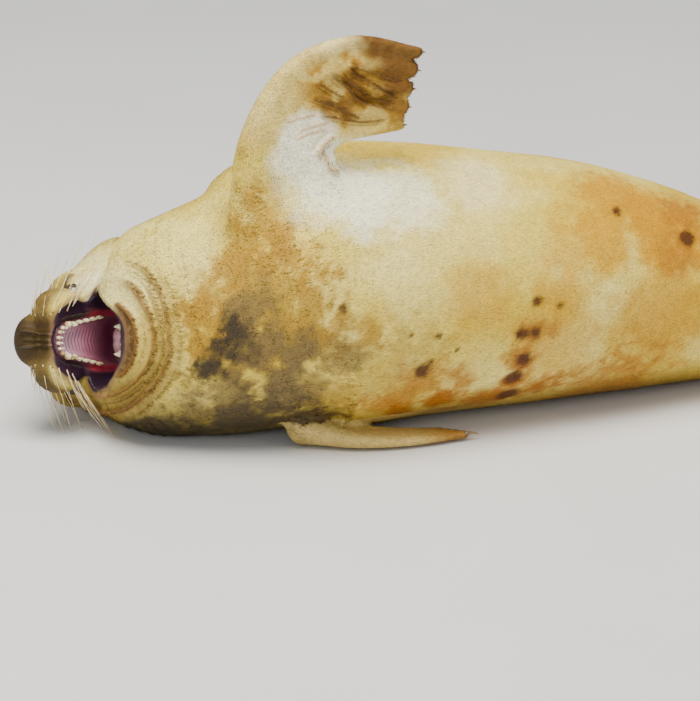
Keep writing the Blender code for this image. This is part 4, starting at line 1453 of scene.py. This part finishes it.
def build_eyes():
    for name, side in (("eye_left", 1), ("eye_right", -1)):
        n = Nodes("seal_" + name)
        centre, _, _, out = eye_frame(side)
        place = n.node("ShaderNodeTexCoord").outputs["Object"]
        toward = n.node("ShaderNodeVectorMath", operation="DOT_PRODUCT")
        n.feed(toward.inputs[0], n.node("ShaderNodeVectorMath", operation="NORMALIZE").outputs[0])
        normal = toward.inputs[0].links[0].from_node
        n.feed(normal.inputs[0], place)
        toward.inputs[1].default_value = out.tolist()
        facing = toward.outputs["Value"]
        fibres = n.grain(900.0, 3.0, 0.6)
        iris = n.mix(n.ramp(fibres, 0.35, 0.65), (0.045, 0.020, 0.008, 1), (0.018, 0.009, 0.005, 1))
        white = n.mix(n.ramp(facing, 0.80, 0.84), (0.060, 0.035, 0.022, 1), iris)
        colour = n.mix(n.ramp(facing, 0.955, 0.965), white, (0.002, 0.002, 0.002, 1))
        n.set(Base_Color=colour, Roughness=n.ramp(fibres, 0.3, 0.7, 0.04, 0.09))
        n.set(Coat_Weight=1.0, Coat_Roughness=0.02)
        bm = bmesh.new()
        bmesh.ops.create_uvsphere(bm, u_segments=48, v_segments=32, radius=EYE_RADIUS)
        mesh = bpy.data.meshes.new(name + "_ball")
        bm.to_mesh(mesh)
        bm.free()
        mesh.materials.append(n.material)
        mesh.shade_smooth()
        obj = linked(name + "_ball", mesh)
        obj.location = (centre - (EYE_RADIUS + LID) * out + PLACE).tolist()
        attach(obj, "root")
        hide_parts(name)


def build_claws():
    n = Nodes("seal_claws")
    grain = n.grain(350.0, 3.0, 0.6)
    colour = n.mix(n.ramp(grain, 0.35, 0.65), (0.13, 0.085, 0.045, 1), (0.32, 0.22, 0.11, 1))
    n.set(Base_Color=colour, Roughness=n.ramp(grain, 0.3, 0.7, 0.28, 0.45),
          Normal=n.bump(grain, 0.2, 0.0004))
    for limb_name, limb, _, nail_side in LIMBS:
        bm = bmesh.new()
        for digit in range(DIGITS):
            line = ray(limb, digit / (DIGITS - 1))
            run = line[-1] - line[-2]
            run /= np.linalg.norm(run)
            up = np.array(nail_side)
            base = line[-1] + 0.0015 * up - 0.004 * run
            reach = 0.0135 if limb is LEFT_FORE else 0.0185
            tip = base + reach * run - 0.002 * up
            steps = (0.0, 0.2, 0.4, 0.6, 0.8, 0.93, 1.0)
            route = [base + t * (tip - base) + 0.0064 * t * (1 - t) * up for t in steps]
            sizes = [0.0024 * (1 - 0.85 * t ** 1.9) for t in steps]
            loft(bm, route, sizes, 12, 0.8, nail_side)
        names = [f"claw_{limb_name}_{k + 1}" for k in range(DIGITS)]
        finish_mesh("claws_" + limb_name, bm, n.material, "claw", *names)


def build_whiskers():
    """Vibrissae on both pads, in rows that lengthen backwards, and a few over each eye."""
    n = Nodes("seal_whiskers")
    waves = n.grain(300.0, 2.0, 0.5)
    colour = n.mix(n.ramp(waves, 0.35, 0.65), (0.92, 0.80, 0.50, 1), (0.66, 0.48, 0.22, 1))
    n.set(Base_Color=colour, Roughness=n.ramp(waves, 0.3, 0.7, 0.3, 0.5))
    rng = np.random.default_rng(11)
    bm = bmesh.new()
    left = HEAD_AXES[1]
    for side in (1, -1):
        for row, k in ((row, k) for row in range(4) for k in range(6)):
            reach = 0.020 + 0.0120 * k + 0.010 * rng.random()
            if row == 3 and k < 3:
                reach *= 0.6
            way = side * 0.85 * left - (0.12 + 0.08 * k) * HEAD_AXES[0]
            way = way + (row - 1.6) * 0.14 * HEAD_AXES[2] + rng.normal(0, 0.07, 3)
            whisker(bm, follicles(side)[6 * row + k], way / np.linalg.norm(way), reach, rng)
        for k in range(3):
            root = from_head((0.052 - 0.006 * k, side * 0.060, 0.070))[None].astype(F)
            for _ in range(4):
                root = settled(skin_form, root, 0.01)
            way = side * 0.75 * left - 0.35 * HEAD_AXES[0] + 0.45 * HEAD_AXES[2]
            way = way + rng.normal(0, 0.08, 3)
            whisker(bm, root[0], way / np.linalg.norm(way), 0.030, rng)
    finish_mesh("whiskers", bm, n.material, "coat_head")


def whisker(bm, root, way, reach, rng):
    sag = -0.45 * HEAD_AXES[0] + rng.normal(0, 0.12, 3)
    steps = np.linspace(0, 1, 9)
    line = [root + reach * (t * way + 0.28 * t * t * sag) for t in steps]
    for point in line:
        point[2] = max(point[2], WHISKER_LOWEST)
    sizes = [0.00065 * (1 - 0.75 * t) for t in steps]
    loft(bm, line, sizes, 5)


# ---------------------------------------------------------------- floor, light, camera


def build_stage():
    n = Nodes("floor")
    grain = n.grain(3.0, 2.0, 0.5)
    colour = n.mix(n.ramp(grain, 0.3, 0.7), (0.72, 0.71, 0.69, 1), (0.76, 0.75, 0.73, 1))
    n.set(Base_Color=colour, Roughness=0.9)
    bm = bmesh.new()
    bmesh.ops.create_grid(bm, x_segments=1, y_segments=1, size=12.0)
    mesh = bpy.data.meshes.new("floor")
    bm.to_mesh(mesh)
    bm.free()
    mesh.materials.append(n.material)
    floor = linked("floor", mesh)

    world = bpy.data.worlds.new("studio")
    world.use_nodes = True
    world.node_tree.nodes["Background"].inputs["Color"].default_value = (0.90, 0.95, 1.0, 1)
    world.node_tree.nodes["Background"].inputs["Strength"].default_value = 0.45
    bpy.context.scene.world = world
    for name, place, size, power, tint in (
        ("key", (-0.7, -0.5, 3.0), 2.0, 165.0, (1.0, 0.97, 0.90)),
        ("side", (2.2, -2.2, 1.6), 2.0, 14.0, (1.0, 0.98, 0.94)),
        ("front", (-2.0, -2.6, 1.2), 1.6, 24.0, (0.95, 0.98, 1.0)),
    ):
        light = bpy.data.lights.new(name, "AREA")
        light.energy = power
        light.size = size
        light.color = tint
        lamp = bpy.data.objects.new(name, light)
        lamp.location = place
        aim = Vector((-0.2, 0.0, 0.15)) - Vector(place)
        lamp.rotation_euler = aim.to_track_quat("-Z", "Y").to_euler()
        bpy.context.collection.objects.link(lamp)


def build_camera():
    azimuth, elevation, away = math.radians(-17), math.radians(20), 8.0
    aim = Vector((0.046, -0.039, 0.085)) + Vector(PLACE.tolist())
    offset = Vector((math.sin(azimuth) * math.cos(elevation),
                     -math.cos(azimuth) * math.cos(elevation), math.sin(elevation)))
    data = bpy.data.cameras.new("camera")
    data.sensor_width = 36.0
    data.lens = 374.0
    data.clip_end = 100.0
    camera = bpy.data.objects.new("camera", data)
    camera.location = aim + away * offset
    camera.rotation_euler = (-offset).to_track_quat("-Z", "Y").to_euler()
    bpy.context.collection.objects.link(camera)
    bpy.context.scene.camera = camera


build_camera()
build_stage()
skin, rest, bare, lines = build_skin()
build_coat(skin, rest, bare, lines, FULL_COAT)
teeth = tooth_material()
build_teeth("upper_teeth", UPPER_ARCH, 6, from_head, PALATE - GUM, -1, teeth)
build_teeth("lower_teeth", LOWER_ARCH, 4, from_jaw, 0.0, 1, teeth)
build_tongue()
build_eyes()
build_claws()
build_whiskers()
